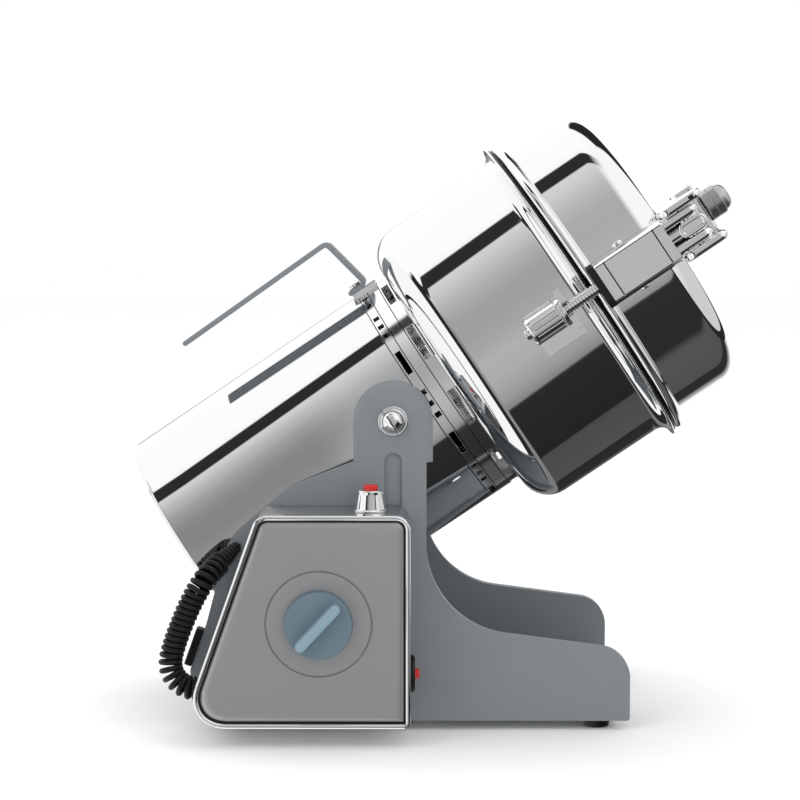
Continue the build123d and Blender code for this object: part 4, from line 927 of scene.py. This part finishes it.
def spline_curve(name, points, radius=0.0):
    """A curve object of one open smooth spline; its points' radius is what its bounds are widened by."""
    curve = bpy.data.curves.new(name, "CURVE")
    curve.dimensions = "3D"
    spline = curve.splines.new("NURBS")
    spline.points.add(len(points) - 1)
    for point, place in zip(spline.points, points):
        point.co = (*place, 1)
        point.radius = radius
    spline.order_u = 3
    spline.use_endpoint_u = True
    return added(name, curve)


def points_of(made):
    """The points of a curve object's own line."""
    bpy.context.view_layer.update()
    mesh = bpy.data.meshes.new_from_object(made)
    places = [vert.co.copy() for vert in mesh.vertices]
    bpy.data.meshes.remove(mesh)
    return places


def coiled(line, sizes):
    """A helix round a line of points, closing down to the line at both of its ends."""
    reach = [0.0]
    for before, after in zip(line, line[1:]):
        reach.append(reach[-1] + (after - before).length)
    side = (line[1] - line[0]).orthogonal().normalized()
    closing, least_spread = 0.8, 0.82            # turns that close down at each end; inside of a bend to its middle
    step, place, angle = 0, 0.0, 0.0
    points, wound = [], 0.0
    while place < reach[-1]:
        while step < len(line) - 2 and reach[step + 1] < place:
            step += 1
        share = (place - reach[step]) / (reach[step + 1] - reach[step])
        ahead = (line[min(step + 2, len(line) - 1)] - line[step]).normalized()
        behind = (line[step + 1] - line[max(step - 1, 0)]).normalized()
        run = (line[min(step + 2, len(line) - 1)] - line[max(step - 1, 0)]).length / 2
        bend = ahead.angle(behind, 0.0) / max(run, 1e-6)
        tangent = behind.lerp(ahead, share).normalized()
        side = (side - tangent * side.dot(tangent)).normalized()
        across = tangent.cross(side)
        pitch = max(sizes.pitch, (sizes.wire * 1.02) / max(least_spread, 1 - sizes.coil * bend))
        left = (reach[-1] - place) / pitch
        near_end = min(1.0, wound / closing, left / closing)
        radius = sizes.coil * near_end * near_end * (3 - 2 * near_end)
        middle = line[step].lerp(line[step + 1], share)
        points.append(middle + (side * math.cos(angle) + across * math.sin(angle)) * radius)
        wound += 1 / sizes.turn_points
        angle = wound * 2 * math.pi
        place += pitch / sizes.turn_points
    points.append(line[-1])
    return points


class MILL_OT_cord(bpy.types.Operator):
    """Winds the curly cord from the back of the control box up to its tapered tail in the near plate"""

    bl_idname = "mill.cord"
    bl_label = "Curly cord"

    def execute(self, context):
        sizes = context.scene.mill.cord
        guide = spline_curve("cord_guide", ROUTE)
        guide.data.resolution_u = 24
        line = points_of(guide)
        bpy.data.objects.remove(guide)
        wire = spline_curve("cord_coil", coiled(line, sizes), sizes.wire / 2)
        wire.data.resolution_u = 3
        wire.data.bevel_depth = 1                            # times the points' radius
        wire.data.bevel_resolution = 4
        wire.data.use_fill_caps = True
        dressed(wire, "curly_cord")

        base, tip = Vector(ROUTE[-1]), Vector(TAIL_TIP)
        axis = (tip - base).normalized()
        place = placed(base, axis.orthogonal().normalized(), axis.cross(axis.orthogonal()).normalized(), axis)
        reach = (tip - base).length + 2 * MM
        count, widest, taper = 5, 6.0 * MM, 2.6 * MM
        groove, flank, fine, soft = 0.9 * MM, 0.3 * MM, 0.2 * MM, 0.4 * MM
        ribs = []
        for i in range(count):
            low, high = (i + 0.12) / count * reach, (i + 0.72) / count * reach
            wide = widest - taper * (i + 0.4) / count
            slim = wide - groove
            ribs += [(slim, low, fine), (wide, low + fine, soft)]
            ribs += [(wide - flank, high - fine, soft), (slim - flank, high, fine)]
        section = [(0, 0, 0), (4.9 * MM, 0, soft), *ribs, (2.6 * MM, reach, 0), (0, reach, 0)]
        tail = piece("cord_tail", turned(section, place, 32, 3), "cord_glands")
        glands = copied("cord_glands")
        upper = [vert for vert in glands.verts if vert.co.z >= 90 * MM]     # the gland that the tail stands for
        bmesh.ops.delete(glands, geom=upper, context="VERTS")
        piece("cord_glands_fixed", softened(glands, 0.4 * MM), "cord_glands")
        return {"FINISHED"}


# ------------------------------------------------------------------ barrel


class MILL_OT_housing(bpy.types.Operator):
    """Spins the polished motor housing with its turned-in rear rim"""

    bl_idname = "mill.housing"
    bl_label = "Motor housing"

    def execute(self, context):
        s = context.scene.mill.barrel
        wall, fine = s.housing_wall, 0.4 * MM
        section = [
            (s.housing_radius, s.housing_nose, fine),
            (s.housing_radius, -s.housing_tail, s.housing_edge),
            (s.housing_radius - s.tail_rim, -s.housing_tail, fine),
            (s.housing_radius - s.tail_rim, wall - s.housing_tail, fine),
            (s.housing_radius - wall, wall - s.housing_tail, s.housing_edge - wall),
            (s.housing_radius - wall, s.housing_nose, fine),
        ]
        piece("housing_shell", turned(section, BARREL), "motor_housing")
        eased(("rear_cover", "end_cover", 0.4), ("rear_cover_screws", "cover_screws", 0.5))
        return {"FINISHED"}


class MILL_OT_rings(bpy.types.Operator):
    """Finishes the slotted vent ring, the motor bracket's bright ring and the window ring"""

    bl_idname = "mill.rings"
    bl_label = "Rings"

    def execute(self, context):
        eased(
            ("ring_of_vents", "vent_ring", 0.35),
            ("ring_of_bracket", "motor_bracket", 0.35),
            ("ring_of_windows", "window_ring", 0.35),
            ("bosses", "pivot_bosses", 0.35),
        )
        s = context.scene.mill.barrel
        top, deep, half = s.housing_radius + 0.03 * MM, s.housing_radius - 1 * MM, 0.3 * MM
        seams = [
            turned(band(deep, top, joint - half, joint + half), BARREL, 128)
            for joint in (s.housing_nose, s.vent_end, s.bracket_end)
        ]
        piece("ring_seams", joined(*seams), "window_ring", finish="black_rubber")
        return {"FINISHED"}


class MILL_OT_bowl(bpy.types.Operator):
    """Spins the grinding bowl with its flared lip, and the sealing ring on it"""

    bl_idname = "mill.bowl"
    bl_label = "Grinding bowl"

    def execute(self, context):
        s = context.scene.mill.barrel
        wall, fine = s.bowl_wall, 0.3 * MM
        lip_under = s.lip_station - s.lip_sheet
        inside = s.bowl_radius - wall
        section = [
            (s.seal_radius, s.bowl_start, fine),
            (s.bowl_radius, s.bowl_start, s.bowl_corner),
            (s.bowl_radius, lip_under, s.flare),
            (s.bowl_radius + s.lip_reach, lip_under, 2 * fine),
            (s.bowl_radius + s.lip_reach, s.lip_station, 2 * fine),
            (inside, s.lip_station, fine),
            (inside, s.bowl_start + wall, s.bowl_corner - wall),
            (s.seal_radius, s.bowl_start + wall, fine),
        ]
        piece("bowl_shell", turned(section, BARREL), "grinding_bowl")
        section = band(inside, inside + s.gasket_width, s.lip_station, s.lip_station + s.gasket_height, 2 * fine)
        piece("lip_gasket", turned(section, BARREL), "gasket")
        return {"FINISHED"}


class MILL_OT_lid(bpy.types.Operator):
    """Spins the domed lid with its rolled rim"""

    bl_idname = "mill.lid"
    bl_label = "Lid"

    def execute(self, context):
        s = context.scene.mill.barrel
        wall, crown = s.bowl_wall, 900 * MM
        start = s.lip_station + s.gasket_height
        edge = s.bowl_radius + s.bead_reach + s.bead_radius
        inside = s.bowl_radius - wall
        section = [
            (0, s.lid_end - wall, 0),
            (inside / 2, s.lid_end - wall, crown),
            (inside, s.lid_end - wall - s.lid_crown, s.lid_corner - wall),
            (inside, start, 0.4 * MM),
            (edge, start, s.bead_radius),
            (edge, start + 2 * s.bead_radius, s.bead_radius),
            (s.bowl_radius, start + 2 * s.bead_radius, 1.2 * MM),
            (s.bowl_radius, s.lid_end - s.lid_crown, s.lid_corner),
            (s.bowl_radius / 2, s.lid_end, crown),
            (0, s.lid_end, 0),
        ]
        piece("lid_shell", turned(section, BARREL), "lid")
        return {"FINISHED"}


class MILL_OT_hinge(bpy.types.Operator):
    """Finishes the lid's hinge on the far side"""

    bl_idname = "mill.hinge"
    bl_label = "Lid hinge"

    def execute(self, context):
        eased(
            ("hinge_leaf_low", "bowl_hinge_leaf", 0.5),
            ("hinge_leaf_high", "lid_hinge_leaf", 0.5),
            ("hinge_bar", "hinge_pin", 0.5),
        )
        return {"FINISHED"}


# ------------------------------------------------------------------ latch


class MILL_OT_latch(bpy.types.Operator):
    """Finishes the latch block with black strips of painted shade along its seam and in its cross grooves, and shapes
    the yoke that holds the lever
    """

    bl_idname = "mill.latch"
    bl_label = "Latch block"

    def execute(self, context):
        s = context.scene.mill.latch
        half, steep, sunk = s.block_width / 2, 1.9 * MM, 1.2 * MM
        bm = copied("latch_block")
        for vert in bm.verts:                                # the sloped sides of the face, set steeper
            rise, out = (vert.co - SWING).dot(RISE), (vert.co - SWING).dot(OUT)
            reach = abs(rise) - half + s.block_bevel
            share = reach / s.block_bevel
            on_slope = abs(reach - (s.block_face - out)) < 0.02 * MM
            if on_slope and -0.01 < share < 1.01 and station(vert.co) < s.block_end + 0.1 * MM:
                vert.co += RISE * math.copysign(steep * (1 - share), rise) - OUT * sunk * share
        cut(bm, SWING + ALONG * (s.block_end - 0.001 * MM), ALONG)
        bmesh.ops.holes_fill(bm, edges=[edge for edge in bm.edges if edge.is_boundary])
        piece("latch_body", softened(bm, 0.5 * MM), "latch_block")

        low, high = s.rod_out - s.yoke_depth / 2, s.rod_out + s.yoke_depth / 2
        section = band(s.block_end - 2 * MM, s.yoke_end, low, high, s.yoke_depth * 0.48)
        cheeks = []
        for at in (-s.yoke_half, s.yoke_gap / 2):
            cheek = prism(outline(section), s.yoke_half - s.yoke_gap / 2, SIDE @ shift(0, 0, at))
            cheeks.append(softened(cheek, s.cheek_rounding, 5, clamp=False))
        piece("latch_yoke", joined(*cheeks), "latch_block")
        # painted shade: a black floor in the slot between the yoke's cheeks
        section = band(s.block_end - MM, s.pin_station - 4 * MM, low - 1.6 * MM, low + 0.1 * MM, 0.8 * MM)
        floor = prism(outline(section), s.yoke_gap + MM, SIDE @ shift(0, 0, -s.yoke_gap / 2 - 0.5 * MM))
        piece("yoke_slot_shade", floor, "latch_block", finish="black_plastic")
        eased(
            ("latch_cross_pin", "latch_pin", 0.3),
            ("latch_cushion", "latch_pad", 0.8),
            ("lid_tongue", "latch_tongue", 0.4),
            ("bowl_lug", "latch_lug", 0.7),
        )

        # painted shade: thin black strips set into the block's face along the seam and in the two cross grooves
        flat, deep = half - s.block_bevel + steep, 0.5 * MM
        bm = bmesh.new()
        for rise, wide, middle, long in (
            (flat, s.seam, (s.block_start + s.block_end) / 2, s.block_end - s.block_start - MM),
            (0, 2 * flat, s.block_start + s.groove_inset, s.seam),
            (0, 2 * flat, s.block_end - s.groove_inset, s.seam),
        ):
            block(bm, LATCH @ shift(rise, s.block_face - 0.2 * MM, middle), wide, deep, long)
        piece("latch_groove_shade", bm, "latch_block", finish="black_rubber")
        return {"FINISHED"}


class MILL_OT_rod(bpy.types.Operator):
    """Cuts the draw rod's thread and finishes its eye, collar and ribbed nut"""

    bl_idname = "mill.rod"
    bl_label = "Draw rod and nut"

    def execute(self, context):
        s = context.scene.mill.latch
        crest, root, pitch, steps = s.rod_radius, s.rod_radius - s.thread_depth, s.thread_pitch, 32
        turns = math.ceil((s.thread_end - s.thread_start) / pitch)
        bm = bmesh.new()
        flank = ((root, 0), (root, 0.12), (crest, 0.42), (crest, 0.58), (root, 0.88), (root, 1))
        verts = [bm.verts.new((radius, 0, height * pitch)) for radius, height in flank]
        for low, high in zip(verts, verts[1:]):
            bm.edges.new((low, high))
        bmesh.ops.spin(
            bm,
            geom=bm.verts[:] + bm.edges[:],
            cent=(0, 0, 0),
            axis=(0, 0, 1),
            dvec=(0, 0, pitch / steps),
            angle=math.radians(360) * turns,
            steps=steps * turns,
            use_merge=False,
        )
        bmesh.ops.remove_doubles(bm, verts=bm.verts[:], dist=1e-6)
        for height, normal in ((pitch, -1), (turns * pitch, 1)):
            cut(bm, (0, 0, height), (0, 0, normal), 1e-6)
            rim = [edge for edge in bm.edges if edge.is_boundary and abs(edge.verts[0].co.z - height) < 1e-5]
            bmesh.ops.contextual_create(bm, geom=rim)
        piece("rod_thread", seated(bm, LATCH @ shift(0, s.rod_out, s.thread_start - pitch)), "draw_rod")

        top, wide, rim, fine = s.eye_depth / 2, s.eye_width / 2, s.eye_rim, 0.2 * MM
        section = [
            (0, -top, 0),
            (wide, -top, 0),
            (wide, top, rim),
            (wide - 1.9 * rim, top, fine),
            (wide - 2.3 * rim, top - 1.2 * rim, fine),
            (0, top - 1.2 * rim, 0),
        ]
        eye = turned(section, Matrix(), 90)
        for vert in eye.verts:                               # the halves move apart, which makes it oval
            vert.co.x += math.copysign(s.eye_length / 2 - wide, vert.co.x)
        bmesh.ops.transform(eye, matrix=NEAR @ shift(s.pin_station, 0, s.rod_out), verts=eye.verts[:])
        stem_end = s.pin_station - s.eye_length / 2 + 3 * MM
        stem = turned(band(0, s.rod_radius, s.eye_start, stem_end), LATCH @ shift(0, s.rod_out, 0), 48)
        piece("rod_eye", joined(eye, stem), "draw_rod", finish="zinc_steel")
        eased(("rod_collar", "nut_collar", 0.4), ("ribbed_nut", "knurled_nut", 0.22))
        return {"FINISHED"}


class MILL_OT_lever(bpy.types.Operator):
    """Finishes the clamping lever and turns its round knob"""

    bl_idname = "mill.lever"
    bl_label = "Clamping lever"

    def execute(self, context):
        s = context.scene.mill.latch
        hub, bar, pin = s.lever_hub, s.lever_bar, s.pin_station
        low, high = s.knob_out - bar / 2, s.knob_out + bar / 2
        elbow, fore, aft = s.rod_out - 1.6 * hub, pin + 3 * MM, pin - 4 * MM
        arm = [
            (pin - 2 * hub, s.rod_out - hub, hub * 0.8),
            (pin - 2 * hub, s.rod_out + hub, hub * 0.96),
            (pin + s.lever_reach, s.rod_out + hub, hub * 0.8),
            (pin + s.lever_reach, s.rod_out - hub, hub * 0.6),
            (fore, elbow, 3 * MM),
            (fore, high, 5 * MM),
            (s.knob_station, high, 1.5 * MM),
            (s.knob_station, low, 1.5 * MM),
            (aft, low, 7 * MM),
            (aft, elbow, 3 * MM),
        ]
        parts = []
        for at in (-s.lever_half, s.lever_half - s.lever_arm):
            side = prism(outline(arm, 10), s.lever_arm, SIDE @ shift(0, 0, at))
            parts.append(softened(side, s.cheek_rounding * 0.8, 4, clamp=False))
        start, end, corner = s.knob_station - bar, s.knob_station, bar * 0.42
        cross = [(start, low, corner), (end, low, corner), (end, high, corner), (start, high, corner)]
        reach = s.lever_half - MM
        parts.append(prism(outline(cross, 8), 2 * reach, SIDE @ shift(0, 0, -reach)))
        across = placed(SWING + ALONG * pin + OUT * s.rod_out, ALONG, OUT, RISE * -1)
        parts.append(turned(band(0, s.pin_radius, -s.lever_half, s.lever_half, 0.6 * MM), across, 40))
        for part in parts:
            bmesh.ops.recalc_face_normals(part, faces=part.faces[:])
        piece("lever_bow", joined(*parts), "cam_lever")
        # painted shade: a thin black square on the upper arm for the inside of a small hole
        bm = bmesh.new()
        spot = shift(pin + 8 * MM, s.lever_half - s.lever_arm / 2, s.rod_out + hub - 0.2 * MM)
        block(bm, NEAR @ spot, 3.2 * MM, 2.6 * MM, 0.6 * MM)
        piece("lever_hole_shade", bm, "cam_lever", finish="black_rubber")
        wide, high, top = s.knob_radius, s.knob_height, s.knob_height + s.knob_dome
        section = [
            (0, 0, 0),
            (wide, 0, 0.5 * MM),
            (wide, high * 0.47, 0.3 * MM),
            (wide - 0.6 * MM, high * 0.5, 0.1 * MM),
            (wide, high * 0.53, 0.3 * MM),
            (wide, high, 0.6 * MM),
            (wide - 1.0 * MM, high + 0.2 * MM, 0.2 * MM),
            (wide * 0.72, top, wide * 0.5),
            (0, top, 0),
        ]
        place = LATCH @ shift(0, s.knob_out, s.knob_station)
        piece("lever_grip", turned(section, place, 96), "lever_knob", finish="satin_steel")
        return {"FINISHED"}


class MILL_OT_handle(bpy.types.Operator):
    """Finishes the carrying handle's bent strap and its screws"""

    bl_idname = "mill.handle"
    bl_label = "Carrying handle"

    def execute(self, context):
        piece("strap", softened(copied("handle_strap"), 0.7 * MM, 3), "handle_strap")
        eased(("strap_heads", "strap_screws", 0.5))
        return {"FINISHED"}


# ------------------------------------------------------------------ stand


class MILL_OT_plates(bpy.types.Operator):
    """Finishes both side plates, the floor between them and its screws"""

    bl_idname = "mill.plates"
    bl_label = "Side plates"

    def execute(self, context):
        ears = 160 * MM                                      # above this height the edges are rounder
        for name, node in (("plate_near", "side_plate_near"), ("plate_far", "side_plate_far")):
            bm = softened(copied(node), 1.5 * MM, 3, where=lambda place: place.z > ears)
            piece(name, softened(bm, 0.6 * MM), node)
        eased(
            ("plate_floor", "floor_plate", 0.4),
            ("plate_screws", "floor_screws", 0.6),
            # painted shade: the black edge strips stand for the plates' edges in shadow
            ("plate_edge_shade", "edge_guards", 0.9),
        )
        return {"FINISHED"}


class MILL_OT_feet(bpy.types.Operator):
    """Turns the four rubber feet"""

    bl_idname = "mill.feet"
    bl_label = "Feet"

    def execute(self, context):
        s = context.scene.mill.stand
        base = s.foot_radius - s.foot_height * math.tan(math.radians(8))
        section = [
            (0, 0, 0),
            (base, 0, 1.2 * MM),
            (s.foot_radius, s.foot_height, 0.4 * MM),
            (0, s.foot_height, 0),
        ]
        for i, fore in enumerate((s.foot_rear, s.foot_front)):
            for j, side in enumerate((-1, 1)):
                place = shift(SWING.x + fore, SWING.y + side * s.foot_side, 0)
                piece("foot_%d%d" % (i, j), turned(section, place, 64), "rubber_feet")
        return {"FINISHED"}


class MILL_OT_pivots(bpy.types.Operator):
    """Turns the domed cap nuts and washers on both sides of the swing axis"""

    bl_idname = "mill.pivots"
    bl_label = "Pivots"

    def execute(self, context):
        s = context.scene.mill.stand
        nut_seat = s.plate_face + s.washer_height
        washer = [
            (s.bolt_radius, s.plate_face, 0.3 * MM),
            (s.washer_radius, s.plate_face, 0.3 * MM),
            (s.washer_radius, nut_seat, 0.7 * MM),
            (s.bolt_radius, nut_seat, 0.3 * MM),
        ]
        bore_end, collar, top = nut_seat + 3.1 * MM, nut_seat + 2.2 * MM, nut_seat + s.nut_height
        dome = s.nut_radius - 0.6 * MM
        nut = [
            (0, bore_end, 0),
            (s.bolt_radius, bore_end, 0),
            (s.bolt_radius, nut_seat, 0.3 * MM),
            (s.nut_radius, nut_seat, 0.4 * MM),
            (s.nut_radius, collar, 0.3 * MM),
            (dome, collar + 0.3 * MM, 0.2 * MM),
            (dome, top, dome - 0.6 * MM),
            (0, top, 0),
        ]
        for side, place in (("near", NEAR), ("far", FAR)):
            piece("pivot_washer_" + side, turned(washer, place, 96), "pivot_washers")
            piece("pivot_dome_" + side, turned(nut, place, 96), "pivot_cap_nuts")
        return {"FINISHED"}


# ------------------------------------------------------------------ control box


class MILL_OT_box(bpy.types.Operator):
    """Builds the control box: brushed walls, bright rounded frame and brushed panel"""

    bl_idname = "mill.box"
    bl_label = "Control box"

    def execute(self, context):
        s = context.scene.mill.box
        place = FRONT @ shift(0, 0, s.face)
        wide, deep = s.rim_width, s.bezel_depth
        arc = [math.radians(turn) for turn in range(0, 181, 15)]
        section = [((0.5 - 0.5 * math.cos(turn)) * wide, deep - s.rim_edge * (1 - math.sin(turn))) for turn in arc]
        piece("box_bezel", self.swept(s, [(0, 0), *section, (wide, 0)], place), "control_bezel")
        low, outer, inner = deep - s.seam_drop, wide - 0.2 * MM, s.bezel_width + 0.6 * MM
        seam = self.swept(s, [(outer, 0), (outer, low), (inner, low), (inner, 0)], place)
        piece("box_seam", seam, "control_bezel", finish="black_rubber")
        piece("box_walls", softened(copied("control_housing"), 0.4 * MM), "control_housing")
        piece("box_panel", self.panel(s, place), "control_panel")
        return {"FINISHED"}

    def loops(self, s, section):
        """The box's outline once for each (margin, height), and the edges of each, which are as many."""
        corners = [
            (s.rear_bottom, s.bottom, s.rear_corner),
            (s.front, s.bottom, s.front_corner),
            (s.front, s.top, s.corner),
            (s.rear_top, s.top, s.corner),
        ]
        places = [Vector((x, y)) for x, y, _ in corners]
        parts = []
        for margin, height in section:
            moved = []
            for i, corner in enumerate(places):
                before = (corner - places[i - 1]).normalized()
                after = (places[(i + 1) % len(places)] - corner).normalized()
                inward = Vector((-before.y - after.y, before.x + after.x))
                spot = corner + inward * margin / (1 + before.dot(after))
                moved.append((spot.x, spot.y, max(corners[i][2] - margin, 0.8 * MM)))
            part = outline(moved, 12)
            bmesh.ops.delete(part, geom=part.faces[:], context="FACES_ONLY")
            bmesh.ops.translate(part, vec=(0, 0, height), verts=part.verts[:])
            parts.append(part)
        bm = joined(*parts)
        edges, count = bm.edges[:], len(bm.edges) // len(section)
        return bm, [edges[i * count:(i + 1) * count] for i in range(len(section))]

    def swept(self, s, section, place):
        """A section of (margin, height) carried once round the box's outline."""
        bm, loops = self.loops(s, section)
        for i, loop in enumerate(loops):
            bmesh.ops.bridge_loops(bm, edges=loops[i - 1] + loop)
        return seated(bm, place)

    def panel(self, s, place):
        """The brushed panel: pillowed edge, flat middle with a round groove about the knob."""
        top, margin = s.panel_top, s.bezel_width
        pillow = ((0, 1.75), (0.5, 1.0), (1.7, 0.4), (3.3, 0.1), (5.1, 0))
        section = [(margin, top - s.panel_depth)]
        section += [(margin + across * MM, top - drop * MM) for across, drop in pillow]
        bm, loops = self.loops(s, section)
        for loop, after in zip(loops, loops[1:]):
            bmesh.ops.bridge_loops(bm, edges=loop + after)
        centre = Vector((s.dial_fore, s.dial_height, 0))
        dial = shift(s.dial_fore, s.dial_height, top)
        circle = bmesh.ops.create_circle(bm, cap_ends=False, segments=120, radius=s.dial_radius, matrix=dial)
        edges = list({edge for vert in circle["verts"] for edge in vert.link_edges})
        bmesh.ops.triangle_fill(bm, use_beauty=True, use_dissolve=False, edges=loops[-1] + edges)
        for across, drop in ((-0.4, 1.0), (-0.4, 0.0), (-0.4, -1.0)):    # the groove: down, across and up
            made = bmesh.ops.extrude_edge_only(bm, edges=edges)["geom"]
            edges = [part for part in made if isinstance(part, bmesh.types.BMEdge)]
            for vert in (part for part in made if isinstance(part, bmesh.types.BMVert)):
                away = (vert.co - centre).to_2d().normalized().to_3d()
                vert.co += away * across * MM - Vector((0, 0, drop * MM))
        bmesh.ops.contextual_create(bm, geom=edges)
        bmesh.ops.contextual_create(bm, geom=loops[0])
        return seated(bm, place)


class MILL_OT_timer(bpy.types.Operator):
    """Finishes the timer's knob with its raised bar"""

    bl_idname = "mill.timer"
    bl_label = "Timer knob"

    def execute(self, context):
        piece("timer_grip", softened(copied("timer_knob"), 0.7 * MM, 3), "timer_knob")
        return {"FINISHED"}


class MILL_OT_switches(bpy.types.Operator):
    """Turns the start switch's bright collar, the ribbed reset collar and both red buttons"""

    bl_idname = "mill.switches"
    bl_label = "Switches"

    def execute(self, context):
        s = context.scene.mill.box
        bore, high = s.button_radius + 0.3 * MM, s.collar_height
        roof = Vector((SWING.x + s.start_fore, SWING.y - s.start_out, s.top - s.inset))
        place = placed(roof, FORE, Vector((0, 1, 0)), UP)
        foot, head, neck = 1.3 * MM, 2.4 * MM, s.collar_top + 0.1 * MM
        section = [
            (bore, 0, 0),
            (s.collar_base, 0, 0.3 * MM),
            (s.collar_base, foot, 0.5 * MM),
            (s.collar_base - 0.9 * MM, foot + 0.6 * MM, 0.5 * MM),
            (neck, high - head, 1.0 * MM),
            (neck, high, 0.9 * MM),
            (bore, high, 0.5 * MM),
        ]
        piece("start_ring", turned(section, place, 96), "start_collar")
        section = band(0, s.button_radius, 0, high + s.button_proud, 1.1 * MM, foot=0)
        piece("start_cap", turned(section, place, 64), "start_button")

        wall = Vector((SWING.x + s.front - s.inset, SWING.y - s.reset_out, s.reset_height))
        bore, deep = s.reset_button + 0.3 * MM, s.reset_depth
        place = placed(wall, Vector((0, 1, 0)), UP, FORE)
        rib, chamfer, every = 0.5 * MM, 0.9 * MM, 5
        side = s.reset_radius - rib
        section = [
            (bore, 0, 0),
            (side, 0, 0),
            (side, deep - chamfer, 0.1 * MM),
            (side - chamfer, deep, 0.3 * MM),
            (bore, deep, 0.4 * MM),
        ]
        bm = turned(section, Matrix(), 360 // every, 3)
        ribs = []
        for face in bm.faces:                                # every second face round the collar's side
            middle = face.calc_center_median()
            on_side = abs(face.normal.z) < 0.3 and middle.xy.length > side - 0.3 * MM
            if on_side and face.calc_area() > 1e-9 and math.degrees(math.atan2(middle.y, middle.x)) // every % 2:
                ribs.append(face)
        for face in bmesh.ops.extrude_discrete_faces(bm, faces=ribs)["faces"]:
            bmesh.ops.translate(bm, vec=face.normal * rib, verts=face.verts[:])
        piece("reset_ring", seated(bm, place), "reset_collar")
        section = band(0, s.reset_button, -2 * MM, deep + s.reset_proud, 0.9 * MM, foot=0)
        piece("reset_cap", turned(section, place, 64), "reset_button")
        return {"FINISHED"}


class MILL_OT_inside(bpy.types.Operator):
    """Gives the blades their ground edges, and every CAD node that still shows its finish"""

    bl_idname = "mill.inside"
    bl_label = "Blades and inner parts"

    def execute(self, context):
        eased(
            ("blade_pair", "blades", 0.5),
            ("blade_cap", "blade_nut", 0.6),
            ("blade_rings", "blade_spacers", 0.4),
            ("seal_ring", "shaft_seal", 0.5),
        )
        for node, made in frame["nodes"].items():
            if not made.hide_render:
                made.data.materials.clear()
                made.data.materials.append(finished(slots[node]))
        return {"FINISHED"}


# ------------------------------------------------------------------ sidebar and start

OPERATORS = (
    MILL_OT_stage,
    MILL_OT_cord,
    MILL_OT_housing,
    MILL_OT_rings,
    MILL_OT_bowl,
    MILL_OT_lid,
    MILL_OT_hinge,
    MILL_OT_latch,
    MILL_OT_rod,
    MILL_OT_lever,
    MILL_OT_handle,
    MILL_OT_plates,
    MILL_OT_feet,
    MILL_OT_pivots,
    MILL_OT_box,
    MILL_OT_timer,
    MILL_OT_switches,
    MILL_OT_inside,
)


class MILL_PT_sidebar(bpy.types.Panel):
    """Lists the mill's pieces in the order they are made"""

    bl_idname = "MILL_PT_sidebar"
    bl_label = "Grain Mill"
    bl_space_type = "VIEW_3D"
    bl_region_type = "UI"
    bl_category = "Mill"

    def draw(self, context):
        for operator in OPERATORS:
            self.layout.operator(operator.bl_idname)


CLASSES = (
    BarrelSizes,
    LatchSizes,
    StandSizes,
    BoxSizes,
    CordSizes,
    Finishes,
    MillSettings,
    *OPERATORS,
    MILL_PT_sidebar,
)


def register():
    for made in CLASSES:
        bpy.utils.register_class(made)
    bpy.types.Scene.mill = bpy.props.PointerProperty(type=MillSettings)


def unregister():
    del bpy.types.Scene.mill
    for made in reversed(CLASSES):
        bpy.utils.unregister_class(made)


def main():
    """Makes every piece in order."""
    register()
    for operator in OPERATORS:
        getattr(bpy.ops.mill, operator.bl_idname.split(".")[1])()


if __name__ == "__main__":
    main()
